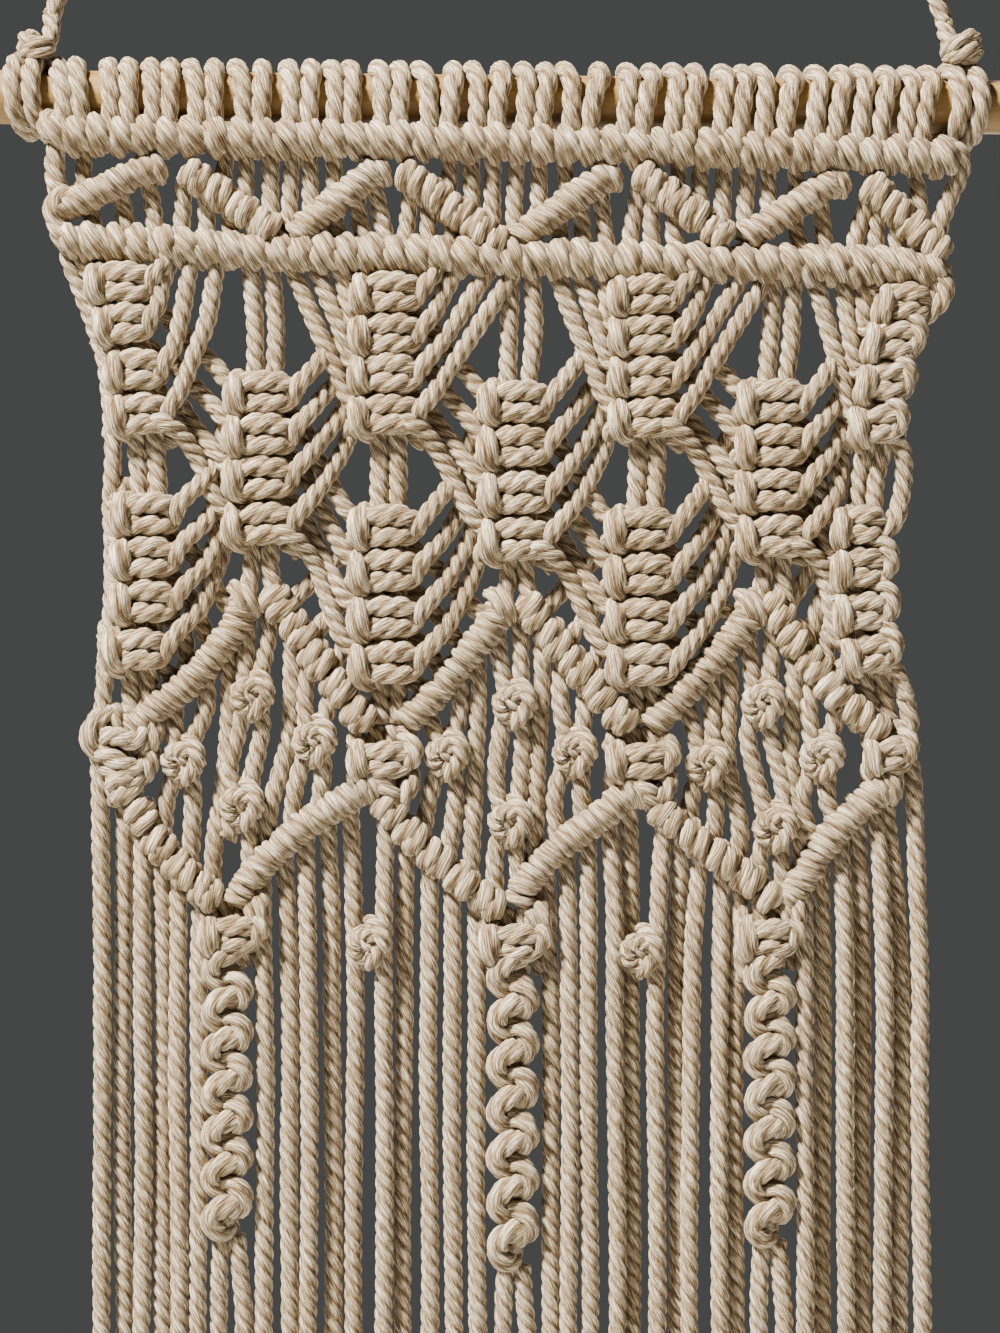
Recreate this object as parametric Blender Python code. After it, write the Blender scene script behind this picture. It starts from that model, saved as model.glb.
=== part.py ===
"""Macrame wall hanging knotted on a wooden dowel.

Units are metres, +Z up, +X along the dowel, the decorated face looks along -Y.
The origin is the hanging point: the underside of the bend where the hanger cord
rests on a nail or hook.

Inside the tables a place on the fabric is (x, d): x along the dowel and d the
distance below the dowel's axis, both in millimetres.
"""

import math

import bmesh
import bpy
from mathutils import Vector

MM = 0.001

# ---- driving dimensions, millimetres -------------------------------------------------
HANG_H = 281.0  # hanging point to dowel axis
DOWEL_D = 12.0
DOWEL_LEN = 255.0
CORD_D = 4.3
GAP = 0.3  # clearance between neighbouring pieces
FABRIC_Y = -3.5  # mid-plane of the knotted fabric, in front of the dowel axis
LOOP_PAIRS = 19  # two-strand loops round the dowel
LOOP_FIRST_X, LOOP_LAST_X = -97.9, 93.6
LOOP_PAIR_W = 8.4
ROW_Y = -6.3  # the first row lies against the lower front of the dowel
ROW1_LEFT, ROW1_RIGHT = (-102.1, 9.9), (98.6, 12.6)
ROW1_H, ROW1_T = 8.2, 9.2
ROW2_LEFT, ROW2_RIGHT = (-95.5, 34.6), (100.5, 37.6)
ROW2_H, ROW2_T = 8.6, 9.2
KNOT_T = 9.6  # square knot, front to back
WAIST_T = 6.6  # between two square knots
COLUMN_W = 14.4
WING_T = 4.6  # a fan of slanting strands
BAR_W, BAR_T = 7.2, 8.4  # a diagonal bar of double half hitches
STRAND_W, STRAND_T = 4.0, 4.0
FRINGE_END_D = 371.0

# Peaks and valleys of the zigzag between the two rows, upper strands and lower strands.
ZIGZAG = (
    # x, d
    (-99.6, 26.2),
    (-76.5, 16.2 + 3.6),
    (-48.0, 27.8),
    (-24.5, 20.4),
    (3.2, 28.6),
    (26.4, 20.8),
    (54.0, 29.2),
    (79.5, 21.6),
    (99.0, 30.6),
)

# Leaves of four square knots.  cx: middle of the knot column, top and foot: where it starts
# and ends, left and right: reach of the strand fan to each side (0 = bare fabric edge).
LEAVES = (
    # name, cx, top, foot, left, right, tier
    ("leaf_a1", -85.6, 39.9, 76.6, 0.0, 22.6, "a"),
    ("leaf_a2", -24.3, 40.3, 76.6, 21.3, 21.3, "a"),
    ("leaf_a3", 33.2, 41.0, 76.4, 21.3, 21.3, "a"),
    ("leaf_a4", 88.0, 42.2, 76.2, 20.6, 0.0, "a"),
    ("leaf_b1", -52.2, 63.1, 104.3, 20.3, 20.3, "b"),
    ("leaf_b2", 4.8, 64.0, 105.0, 20.3, 20.3, "b"),
    ("leaf_b3", 62.0, 64.4, 104.4, 20.3, 16.2, "b"),
    ("leaf_c1", -79.4, 88.6, 129.0, 0.0, 18.8, "c"),
    ("leaf_c2", -23.6, 91.4, 131.0, 20.2, 20.2, "c"),
    ("leaf_c3", 33.3, 92.0, 130.6, 20.2, 20.2, "c"),
    ("leaf_c4", 84.6, 91.6, 126.2, 14.8, 0.0, "c"),
)

# Straight carrier strands that run free between two tiers of leaves.
CARRIERS = (
    # name, x, upper d, lower d, strands
    ("carrier_b1", -52.2, 39.6, 63.1, 2),
    ("carrier_b2", 4.8, 40.5, 64.0, 2),
    ("carrier_b3", 62.0, 41.3, 64.4, 2),
    ("carrier_c1", -79.4, 76.6, 88.6, 2),
    ("carrier_c2", -23.6, 76.6, 91.4, 2),
    ("carrier_c3", 33.3, 76.4, 92.0, 2),
    ("carrier_c4", 83.4, 76.2, 91.6, 2),
)

# Diamonds: the roof bars run from the left crossing up to the peak and down to the right one.
PEAK_D, CROSS_D = 113.6, 147.0
ROOF_FOOT_D = 146.0  # where the upper bars would meet over a crossing
SPINE_D = 153.6  # where the lower bars meet under a crossing
DIAMONDS = (
    # name, left crossing x, peak x, right crossing x, floor x, floor d, leaf foot above the peak
    ("diamond_1", -84.0, -51.4, -23.3, -58.8, 188.0, 104.3),
    ("diamond_2", -23.3, 5.0, 34.6, 5.2, 188.0, 105.0),
    ("diamond_3", 34.6, 62.4, 88.0, 62.6, 185.6, 104.4),
)
CROSSINGS = (
    # x, middle d, x of the strands that come down to it, leaf foot above them
    (-84.4, 146.4, -82.4, 129.0),
    (-23.4, 148.2, -23.4, 131.0),
    (34.4, 148.2, 33.8, 130.6),
    (88.4, 146.6, 88.0, 126.2),
)
DIAMOND_STRANDS = 7  # free strands inside one diamond, the big gaps left between them

SENNITS = (
    # name, x halfway down, top d, foot d, half hitch pairs
    ("sennit_1", -58.3, 194.8, 259.0, 7),
    ("sennit_2", 5.4, 194.8, 266.0, 7),
    ("sennit_3", 63.0, 192.4, 260.0, 7),
)
SENNIT_W, SENNIT_SWAY = 9.2, 1.2

# Free strands, in the groups that the sennits part.
FRINGE = (
    # x of the first and last strand halfway down, strands in the group
    (-87.0, -66.5, 6),
    (-50.0, -3.7, 10),
    (14.0, 54.9, 9),
    (71.7, 97.2, 7),
)
DRIFT = 0.0101  # the strands hang this much out of square with the dowel
DRIFT_MID = 248.0  # d at which the tables of strands and sennits give their x


# ---- helpers ---------------------------------------------------------------------------
def at(x, d, y=FABRIC_Y):
    """A place on the fabric in metres."""
    return Vector((x * MM, y * MM, (-HANG_H - d) * MM))


def material(name, colour, roughness):
    mat = bpy.data.materials.new(name)
    mat.use_nodes = True
    bsdf = mat.node_tree.nodes["Principled BSDF"]
    bsdf.inputs["Base Color"].default_value = (*colour, 1.0)
    bsdf.inputs["Roughness"].default_value = roughness
    bsdf.inputs["Metallic"].default_value = 0.0
    return mat


def new_object(name, bm, mat=None):
    bmesh.ops.recalc_face_normals(bm, faces=bm.faces)
    mesh = bpy.data.meshes.new(name)
    bm.to_mesh(mesh)
    bm.free()
    ob = bpy.data.objects.new(name, mesh)
    bpy.context.scene.collection.objects.link(ob)
    if mat:
        ob.data.materials.append(mat)
    return ob


def skin(rings, closed=False):
    """A bmesh over rings of points, with end caps unless the rings close on themselves."""
    bm = bmesh.new()
    rows = [[bm.verts.new(p) for p in ring] for ring in rings]
    n, m = len(rows), len(rows[0])
    for i in range(n if closed else n - 1):
        a, b = rows[i], rows[(i + 1) % n]
        for j in range(m):
            bm.faces.new((a[j], a[(j + 1) % m], b[(j + 1) % m], b[j]))
    if not closed:
        bm.faces.new(rows[0][::-1])
        bm.faces.new(rows[-1])
    return bm


def oval(width, thick, sides, turn=0.5):
    """Unit offsets (across, depth) of an oval section."""
    return [
        (
            width / 2 * math.cos(2 * math.pi * (k + turn) / sides),
            thick / 2 * math.sin(2 * math.pi * (k + turn) / sides),
        )
        for k in range(sides)
    ]


def bar(points, width, thick, sides=8, y=FABRIC_Y, name="bar"):
    """A bar along points (x, d) or (x, d, width factor), mitred at its corners."""
    flat = [Vector((p[0], -p[1])) for p in points]
    grow = [p[2] if len(p) > 2 else 1.0 for p in points]
    heads = [(b - a).normalized() for a, b in zip(flat, flat[1:])]
    rings = []
    for i, p in enumerate(flat):
        before, after = heads[max(i - 1, 0)], heads[min(i, len(heads) - 1)]
        mean = (before + after).normalized()
        stretch = 1.0 / max(mean.dot(after), 0.5)
        across = Vector((-mean.y, mean.x)) * stretch
        rings.append(
            [
                Vector(
                    (
                        (p.x + across.x * u * grow[i]) * MM,
                        (y + v * grow[i]) * MM,
                        (-HANG_H + p.y + across.y * u * grow[i]) * MM,
                    )
                )
                for u, v in oval(width, thick, sides)
            ]
        )
    return new_object(name, skin(rings))


def plate(outline, thick, y=FABRIC_Y, name="plate"):
    """A flat piece with the outline [(x, d), ...]."""
    rings = [
        [at(x, d, y + side * thick / 2) for x, d in outline] for side in (-1.0, 1.0)
    ]
    return new_object(name, skin(rings))


def column(cx, top, foot, width, knots=4, y=FABRIC_Y, name="column"):
    """A column of square knots: a side profile with one swelling a knot, drawn out in width."""
    pitch = (foot - top) / knots
    depth = []
    for k in range(knots):
        d0 = top + k * pitch
        depth += [
            (d0 + 0.02 * pitch, WAIST_T),
            (d0 + 0.24 * pitch, KNOT_T),
            (d0 + 0.78 * pitch, KNOT_T),
        ]
    depth.append((foot, WAIST_T))
    depth[0] = (top, WAIST_T)
    front = [(d, -t / 2) for d, t in depth]
    back = [(d, t / 2) for d, t in reversed(depth)]
    rings = [
        [at(cx + side * width / 2, d, y + v) for d, v in front + back]
        for side in (-1.0, 1.0)
    ]
    return new_object(name, skin(rings))


def ring_round_dowel(x, width, thick, inner, steps, sides, name="ring"):
    """A band of cord round the dowel at x."""
    rings = []
    for k in range(steps):
        a = 2 * math.pi * (k + 0.5) / steps
        radius = inner / math.cos(math.pi / steps) + thick / 2
        rings.append(
            [
                Vector(
                    (
                        (x + u) * MM,
                        (radius + v) * math.sin(a) * MM,
                        (-HANG_H + (radius + v) * math.cos(a)) * MM,
                    )
                )
                for u, v in oval(width, thick, sides, 0.0)
            ]
        )
    return new_object(name, skin(rings, closed=True))


def lump(x, d, y, size, name="lump"):
    """A rounded knot body: a sphere stretched to size (x, y, z)."""
    bm = bmesh.new()
    bmesh.ops.create_icosphere(bm, subdivisions=2, radius=0.5)
    middle = at(x, d, y)
    for v in bm.verts:
        v.co = middle + Vector(
            (v.co.x * size[0] * MM, v.co.y * size[1] * MM, v.co.z * size[2] * MM)
        )
    return new_object(name, bm)


def union(name, pieces, mat):
    """One closed body out of overlapping pieces."""
    base = pieces[0]
    for extra in pieces[1:]:
        mod = base.modifiers.new("union", "BOOLEAN")
        mod.operation = "UNION"
        mod.solver = "EXACT"
        mod.object = extra
        shape = base.evaluated_get(bpy.context.evaluated_depsgraph_get())
        mesh = bpy.data.meshes.new_from_object(shape)
        base.modifiers.clear()
        old = base.data
        base.data = mesh
        bpy.data.meshes.remove(old)
        gone = extra.data
        bpy.data.objects.remove(extra)
        bpy.data.meshes.remove(gone)
    base.name = name
    base.data.name = name
    base.data.materials.clear()
    base.data.materials.append(mat)
    return base


def lerp(a, b, t):
    return a + (b - a) * t


def row_d(row, x):
    """Depth below the dowel of a sloping row at x."""
    (x0, d0), (x1, d1) = row
    return lerp(d0, d1, (x - x0) / (x1 - x0))


def zigzag_d(x):
    for (x0, d0), (x1, d1) in zip(ZIGZAG, ZIGZAG[1:]):
        if x0 <= x <= x1:
            return lerp(d0, d1, (x - x0) / (x1 - x0))
    return ZIGZAG[0][1] if x < ZIGZAG[0][0] else ZIGZAG[-1][1]


# ---- start from an empty scene -----------------------------------------------------------
for old in list(bpy.data.objects):
    bpy.data.objects.remove(old)

COTTON = material("cotton_cord", (0.72, 0.63, 0.52), 0.9)
WOOD = material("wood_dowel", (0.58, 0.33, 0.13), 0.45)
CORD = material("hanger_cotton", (0.72, 0.63, 0.52), 0.9)
ROW1, ROW2 = (ROW1_LEFT, ROW1_RIGHT), (ROW2_LEFT, ROW2_RIGHT)

# ---- dowel -------------------------------------------------------------------------------
bm = bmesh.new()
bmesh.ops.create_cone(
    bm,
    cap_ends=True,
    segments=32,
    radius1=DOWEL_D / 2 * MM,
    radius2=DOWEL_D / 2 * MM,
    depth=DOWEL_LEN * MM,
)
dowel = new_object("dowel", bm, WOOD)
dowel.rotation_euler = (0.0, math.radians(90.0), 0.0)
dowel.location = at(0.0, 0.0, 0.0)
dowel.data.shade_smooth()
dowel.data.set_sharp_from_angle(angle=math.radians(40.0))

# ---- hanger: two legs from the knots up to the bend over the nail ------------------------------
BEND_R = 6.0  # centreline radius of the bend
LEG_FOOT = ((-101.6, -18.6), (100.4, -18.9))  # x, d of each leg's lower end


def hanger_route():
    """Centreline from the left knot over the bend to the right knot, in x, z millimetres."""
    centre = Vector((0.0, CORD_D / 2 - BEND_R))
    legs = []
    for side, (x, d) in zip((-1.0, 1.0), LEG_FOOT):
        foot = Vector((x, -HANG_H - d))
        reach = foot - centre
        # where the straight leg leaves the bend
        angle = math.atan2(reach.y, reach.x)
        turn = math.acos(BEND_R / reach.length)
        touch = angle - side * -1.0 * turn if side > 0 else angle - turn
        legs.append((foot, touch))
    (left_foot, left_a), (right_foot, right_a) = legs
    left_a %= 2 * math.pi
    right_a = (right_a + math.pi) % (2 * math.pi) - math.pi
    points = []
    start = centre + BEND_R * Vector((math.cos(left_a), math.sin(left_a)))
    points += [left_foot.lerp(start, t / 6) for t in range(6)]
    points += [
        centre + BEND_R * Vector((math.cos(a), math.sin(a)))
        for a in [lerp(left_a, right_a, t / 10) for t in range(11)]
    ]
    end = points[-1]
    points += [end.lerp(right_foot, t / 6) for t in range(1, 7)]
    return points


curve = bpy.data.curves.new("hanger_cord", "CURVE")
curve.dimensions = "3D"
curve.bevel_depth = CORD_D / 2 * MM
curve.bevel_resolution = 3
curve.use_fill_caps = True
route = hanger_route()
spline = curve.splines.new("POLY")
spline.points.add(len(route) - 1)
for point, p in zip(spline.points, route):
    point.co = (p.x * MM, 0.0, p.y * MM, 1.0)
curve.materials.append(CORD)
hanger = bpy.data.objects.new("hanger_cord", curve)
bpy.context.scene.collection.objects.link(hanger)

# ---- the hanger's knots, each with two turns round the dowel ------------------------------------
for name, knot_x, knot_d, size, turns in (
    ("hanger_knot_left", -105.2, -13.0, (9.6, 9.0, 6.8), (-109.2, -104.8)),
    ("hanger_knot_right", 103.6, -13.2, (9.8, 9.4, 7.4), (101.3, 105.7)),
):
    pieces = [lump(knot_x, knot_d, 0.0, size)]
    pieces += [
        ring_round_dowel(x, CORD_D + 0.3, CORD_D, DOWEL_D / 2 + GAP, 14, 6)
        for x in turns
    ]
    union(name, pieces, COTTON)

# ---- heading: loops round the dowel, gathered in the first row of hitches --------------------------
pieces = [
    bar(
        [ROW1_LEFT, ((ROW1_LEFT[0] + ROW1_RIGHT[0]) / 2, 11.2), ROW1_RIGHT],
        ROW1_H,
        ROW1_T,
        8,
        ROW_Y,
    )
]
for k in range(LOOP_PAIRS):
    x = lerp(LOOP_FIRST_X, LOOP_LAST_X, k / (LOOP_PAIRS - 1))
    pieces.append(
        ring_round_dowel(x, LOOP_PAIR_W, CORD_D, DOWEL_D / 2 + GAP, 10, 6)
    )
union("heading", pieces, COTTON)

# ---- zigzag band: one zigzag bar with short strands above and below it ------------------------------
pieces = [bar(ZIGZAG, 6.6, 8.6, 8)]
BAND_W = 5.0  # corner to corner of a square-sided strand
BAND_STRANDS = (
    # first and last share of the way between two corners of the zigzag, strands
    (0.20, 0.86, 3),
)
for i, ((x0, d0), (x1, d1)) in enumerate(zip(ZIGZAG, ZIGZAG[1:])):
    for first, last, count in BAND_STRANDS:
        for k in range(count):
            x = lerp(x0, x1, lerp(first, last, k / (count - 1)))
            middle = zigzag_d(x)
            up, down = row_d(ROW1, x) + ROW1_H / 2 + GAP, row_d(ROW2, x) - ROW2_H / 2 - GAP
            if middle - up > 4.5:
                pieces.append(bar([(x, up), (x, middle)], BAND_W, BAND_W, 4))
            if down - middle > 4.5:
                pieces.append(bar([(x, middle), (x, down)], BAND_W, BAND_W, 4))
union("zigzag_band", pieces, COTTON)

# ---- second row ------------------------------------------------------------------------------------
bar(
    [ROW2_LEFT, (2.5, row_d(ROW2, 2.5)), ROW2_RIGHT],
    ROW2_H,
    ROW2_T,
    8,
    name="row_2",
).data.materials.append(COTTON)

# ---- leaves of square knots -------------------------------------------------------------------------
FOOT_W = 7.0  # half width of the lowest knot


def leaf(name, cx, top, foot, left, right, tier):
    """A column of four square knots with the fans of strands that run into its sides."""
    length = foot - top
    half = COLUMN_W / 2
    start = row_d(ROW2, cx) + ROW2_H / 2 + GAP if tier == "a" else top
    reach = {-1.0: left, 1.0: right}
    pieces = [
        column(cx, max(start, top), foot, COLUMN_W if left and right else COLUMN_W - 1.4)
    ]
    for side in (-1.0, 1.0):
        r = reach[side]
        if not r:
            continue
        foot_in = FOOT_W
        if tier == "a":
            # the fan starts under the row and narrows down to the lowest knot
            up = row_d(ROW2, cx + side * r) + ROW2_H / 2 + GAP
            up_in = row_d(ROW2, cx) + ROW2_H / 2 + GAP
            outline = [
                (0.0, up_in),
                (r, up),
                (foot_in, foot - 5.6),
                (foot_in, foot - 0.6),
                (0.0, foot - 0.6),
            ]
        else:
            outline = [
                (0.0, top + 1.2),
                (half - 0.6, top + 1.2),
                (r - 6.9, top - 3.4),
                (r, top + 7.4),
                (r, top + 12.4),
                (foot_in, foot - 7.4),
                (foot_in, foot - 0.6),
                (0.0, foot - 0.6),
            ]
        pieces.append(
            plate([(cx + side * u, d) for u, d in outline], WING_T, FABRIC_Y + 0.15)
        )
    return union(name, pieces, COTTON)


for row in LEAVES:
    leaf(*row)

# ---- carrier strands between the tiers ------------------------------------------------------------------
for name, x, upper, lower, count in CARRIERS:
    if name.startswith("carrier_b"):
        upper = row_d(ROW2, x) + ROW2_H / 2
    ob = plate(
        [
            (x - 4.1, upper + GAP),
            (x + 4.1, upper + GAP),
            (x + 4.1, lower - GAP),
            (x - 4.1, lower - GAP),
        ],
        STRAND_T,
        name=name,
    )
    ob.data.materials.append(COTTON)

# ---- diamonds: roof bars with the strands that hang inside ------------------------------------------------
def floor_d(x):
    """Centreline of the lower zigzag of bars at x."""
    for _, x0, _, x1, xf, df, _ in DIAMONDS:
        if x0 <= x <= xf:
            return lerp(SPINE_D, df, (x - x0) / (xf - x0))
        if xf <= x <= x1:
            return lerp(df, SPINE_D, (x - xf) / (x1 - xf))
    return SPINE_D


def roof_d(x):
    """Centreline of the upper zigzag of bars at x."""
    for _, x0, xp, x1, _, _, _ in DIAMONDS:
        if x0 <= x <= xp:
            return lerp(ROOF_FOOT_D, PEAK_D, (x - x0) / (xp - x0))
        if xp <= x <= x1:
            return lerp(PEAK_D, ROOF_FOOT_D, (x - xp) / (x1 - xp))
    return ROOF_FOOT_D


def floor_top(x):
    """Top of the lower bars at x."""
    before, after = floor_d(x - 0.1), floor_d(x + 0.1)
    slope = (after - before) / 0.2
    return floor_d(x) - BAR_W / 2 * math.hypot(1.0, slope)


for name, x0, xp, x1, xf, df, above in DIAMONDS:
    inset = 9.2
    ends = [x0 + inset, x1 - inset]
    roof = [(ends[0], roof_d(ends[0])), (xp, PEAK_D), (ends[1], roof_d(ends[1]))]
    pieces = [bar(roof, BAR_W, BAR_T, 8)]
    pieces.append(
        plate(
            [
                (xp - 3.6, above + GAP),
                (xp + 3.6, above + GAP),
                (xp + 3.6, PEAK_D + 2.0),
                (xp - 3.6, PEAK_D + 2.0),
            ],
            STRAND_T,
        )
    )
    for k in range(DIAMOND_STRANDS):
        x = lerp(x0 + 11.4, x1 - 11.4, k / (DIAMOND_STRANDS - 1))
        low = min(floor_top(x - 2.1), floor_top(x), floor_top(x + 2.1)) - GAP
        pieces.append(bar([(x, roof_d(x)), (x, low)], STRAND_W, STRAND_T, 6))
    union(name, pieces, COTTON)

def drifted(x, d):
    return x + DRIFT * (d - DRIFT_MID)


def strand(x, top, bottom):
    """A free strand, x given halfway down."""
    stops = [top, bottom]
    return bar([(drifted(x, d), d) for d in stops], STRAND_W, STRAND_T, 6)


# ---- fringe: the lower bars are the spine of one comb ---------------------------------------------------------
spine = [(DIAMONDS[0][1] - 2.0, SPINE_D - 2.4)]
for _, x0, _, x1, xf, df, _ in DIAMONDS:
    spine += [(xf, df), (x1, SPINE_D)]
spine[-1] = (DIAMONDS[-1][3] + 2.0, SPINE_D - 2.4)
pieces = [bar(spine, BAR_W, BAR_T, 8)]
for x, d, strands_x, above in CROSSINGS:
    pieces.append(column(x, d - 6.2, d + 6.2, 12.4, 2))
    pieces.append(
        plate(
            [
                (strands_x - 3.4, above + GAP),
                (strands_x + 3.4, above + GAP),
                (strands_x + 3.4, d),
                (strands_x - 3.4, d),
            ],
            STRAND_T,
        )
    )
for _, _, _, _, xf, df, _ in DIAMONDS:
    pieces.append(column(xf, df - 2.0, df + 4.4, 13.0, 1))
for first, last, count in FRINGE:
    for k in range(count):
        x = lerp(first, last, k / (count - 1))
        top = floor_d(min(max(x, DIAMONDS[0][1]), DIAMONDS[-1][3]))
        if x < DIAMONDS[0][1] or x > DIAMONDS[-1][3] - 4.0:
            top = CROSS_D
        bottom = FRINGE_END_D - 2.0 * math.sin(0.9 * x)
        pieces.append(strand(x, top, bottom))
union("fringe", pieces, COTTON)

# ---- sennits of alternating half hitches ---------------------------------------------------------------------
for name, x, top, foot, pairs in SENNITS:
    route = []
    steps = 2 * pairs
    for k in range(steps + 1):
        d = lerp(top, foot, k / steps)
        sway = SENNIT_SWAY * math.sin(math.pi * (k + 0.5))
        route.append((drifted(x, d) + sway, d, 1.0 if k % 2 else 0.8))
    # the two working strands hang on below the last knot
    tails = [strand(x + s, foot - 3.0, FRINGE_END_D - 1.5) for s in (-2.6, 2.6)]
    union(name, [bar(route, SENNIT_W, 9.0, 8)] + tails, COTTON)
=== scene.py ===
"""Macrame wall hanging: every cord is swept as a three-ply twisted rope."""
import math

import bpy
import numpy as np
from mathutils import Matrix, Vector

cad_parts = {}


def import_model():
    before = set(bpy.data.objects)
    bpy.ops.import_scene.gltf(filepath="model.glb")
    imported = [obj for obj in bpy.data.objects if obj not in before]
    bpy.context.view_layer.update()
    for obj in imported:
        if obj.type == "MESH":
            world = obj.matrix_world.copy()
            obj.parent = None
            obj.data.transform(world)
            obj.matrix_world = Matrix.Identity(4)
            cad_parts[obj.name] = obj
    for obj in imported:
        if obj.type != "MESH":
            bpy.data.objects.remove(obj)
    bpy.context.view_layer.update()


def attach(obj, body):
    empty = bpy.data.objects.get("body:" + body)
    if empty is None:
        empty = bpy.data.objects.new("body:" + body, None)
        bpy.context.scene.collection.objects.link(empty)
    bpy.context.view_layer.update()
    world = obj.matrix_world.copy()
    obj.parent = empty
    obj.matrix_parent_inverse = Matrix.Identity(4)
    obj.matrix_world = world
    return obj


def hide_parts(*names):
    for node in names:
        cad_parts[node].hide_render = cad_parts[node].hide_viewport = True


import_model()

# ---------------------------------------------------------------- places
# Places are given as (px, py, w): across and down a square-on view in units of S metres,
# with the view turned by TILT from the frame, and w towards the viewer.
S = 0.000225
TILT = 0.58 * math.pi / 180
HANG = 0.281  # hanging point to dowel axis
CLOTH_Y = -0.0035  # mid-plane of the cloth
DOWEL_W = -15.6  # the dowel's axis in w
CT, ST = math.cos(TILT), math.sin(TILT)


def world(points):
    p = np.asarray(points, float).reshape(-1, 3)
    u, v = p[:, 0] - 500.0, p[:, 1] - 99.0
    return np.stack(
        [
            S * (u * CT + v * ST),
            CLOTH_Y - S * p[:, 2],
            -HANG - S * (v * CT - u * ST),
        ],
        axis=1,
    )


class Rng:
    """A small seeded generator, so each run gives the same cloth."""

    def __init__(self, seed):
        self.r = np.random.RandomState(seed)

    def u(self, a, b):
        return float(self.r.uniform(a, b))


RNG = Rng(11)

# ---------------------------------------------------------------- rope
PLY = 3
AROUND = 12
# radius round one ply: groove, flank, crown, flank
LOBE = np.array([0.76, 0.95, 1.01, 0.95])
STEP = 0.00102
R = 9.6 * S  # cord radius, 2.15 mm
PITCH = 0.0102  # one full turn of the plies
CORD_D = 0.0043


def smooth(points, step=STEP):
    """Points on a centripetal Catmull-Rom curve, evenly spaced by about step."""
    p = np.asarray(points, float)
    if len(p) == 2:
        dense = p
    else:
        ends = np.vstack([2 * p[0] - p[1], p, 2 * p[-1] - p[-2]])
        out = []
        for i in range(1, len(ends) - 2):
            p0, p1, p2, p3 = ends[i - 1 : i + 3]
            t0 = 0.0
            t1 = t0 + max(np.linalg.norm(p1 - p0), 1e-7) ** 0.5
            t2 = t1 + max(np.linalg.norm(p2 - p1), 1e-7) ** 0.5
            t3 = t2 + max(np.linalg.norm(p3 - p2), 1e-7) ** 0.5
            t = np.linspace(t1, t2, 9)[: None if i == len(ends) - 3 else -1, None]
            a1 = (t1 - t) / (t1 - t0) * p0 + (t - t0) / (t1 - t0) * p1
            a2 = (t2 - t) / (t2 - t1) * p1 + (t - t1) / (t2 - t1) * p2
            a3 = (t3 - t) / (t3 - t2) * p2 + (t - t2) / (t3 - t2) * p3
            b1 = (t2 - t) / (t2 - t0) * a1 + (t - t0) / (t2 - t0) * a2
            b2 = (t3 - t) / (t3 - t1) * a2 + (t - t1) / (t3 - t1) * a3
            out.append((t2 - t) / (t2 - t1) * b1 + (t - t1) / (t2 - t1) * b2)
        dense = np.vstack(out)
    seg = np.linalg.norm(np.diff(dense, axis=0), axis=1)
    along = np.concatenate([[0.0], np.cumsum(seg)])
    n = max(3, int(round(along[-1] / step)) + 1)
    at = np.linspace(0.0, along[-1], n)
    return np.stack([np.interp(at, along, dense[:, k]) for k in range(3)], axis=1), at


def transport(path):
    """Tangent and two side vectors at each point, turned as little as possible."""
    tan = np.gradient(path, axis=0)
    tan /= np.maximum(np.linalg.norm(tan, axis=1), 1e-12)[:, None]
    side = np.cross(tan[0], (0.0, 1.0, 0.0))
    if np.linalg.norm(side) < 1e-3:
        side = np.cross(tan[0], (1.0, 0.0, 0.0))
    n = np.empty_like(path)
    cur = side / np.linalg.norm(side)
    for i in range(len(path)):
        t = tan[i]
        cur = cur - t * (cur @ t)
        cur = cur / math.sqrt(cur @ cur)
        n[i] = cur
    return tan, n, np.cross(tan, n)


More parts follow.
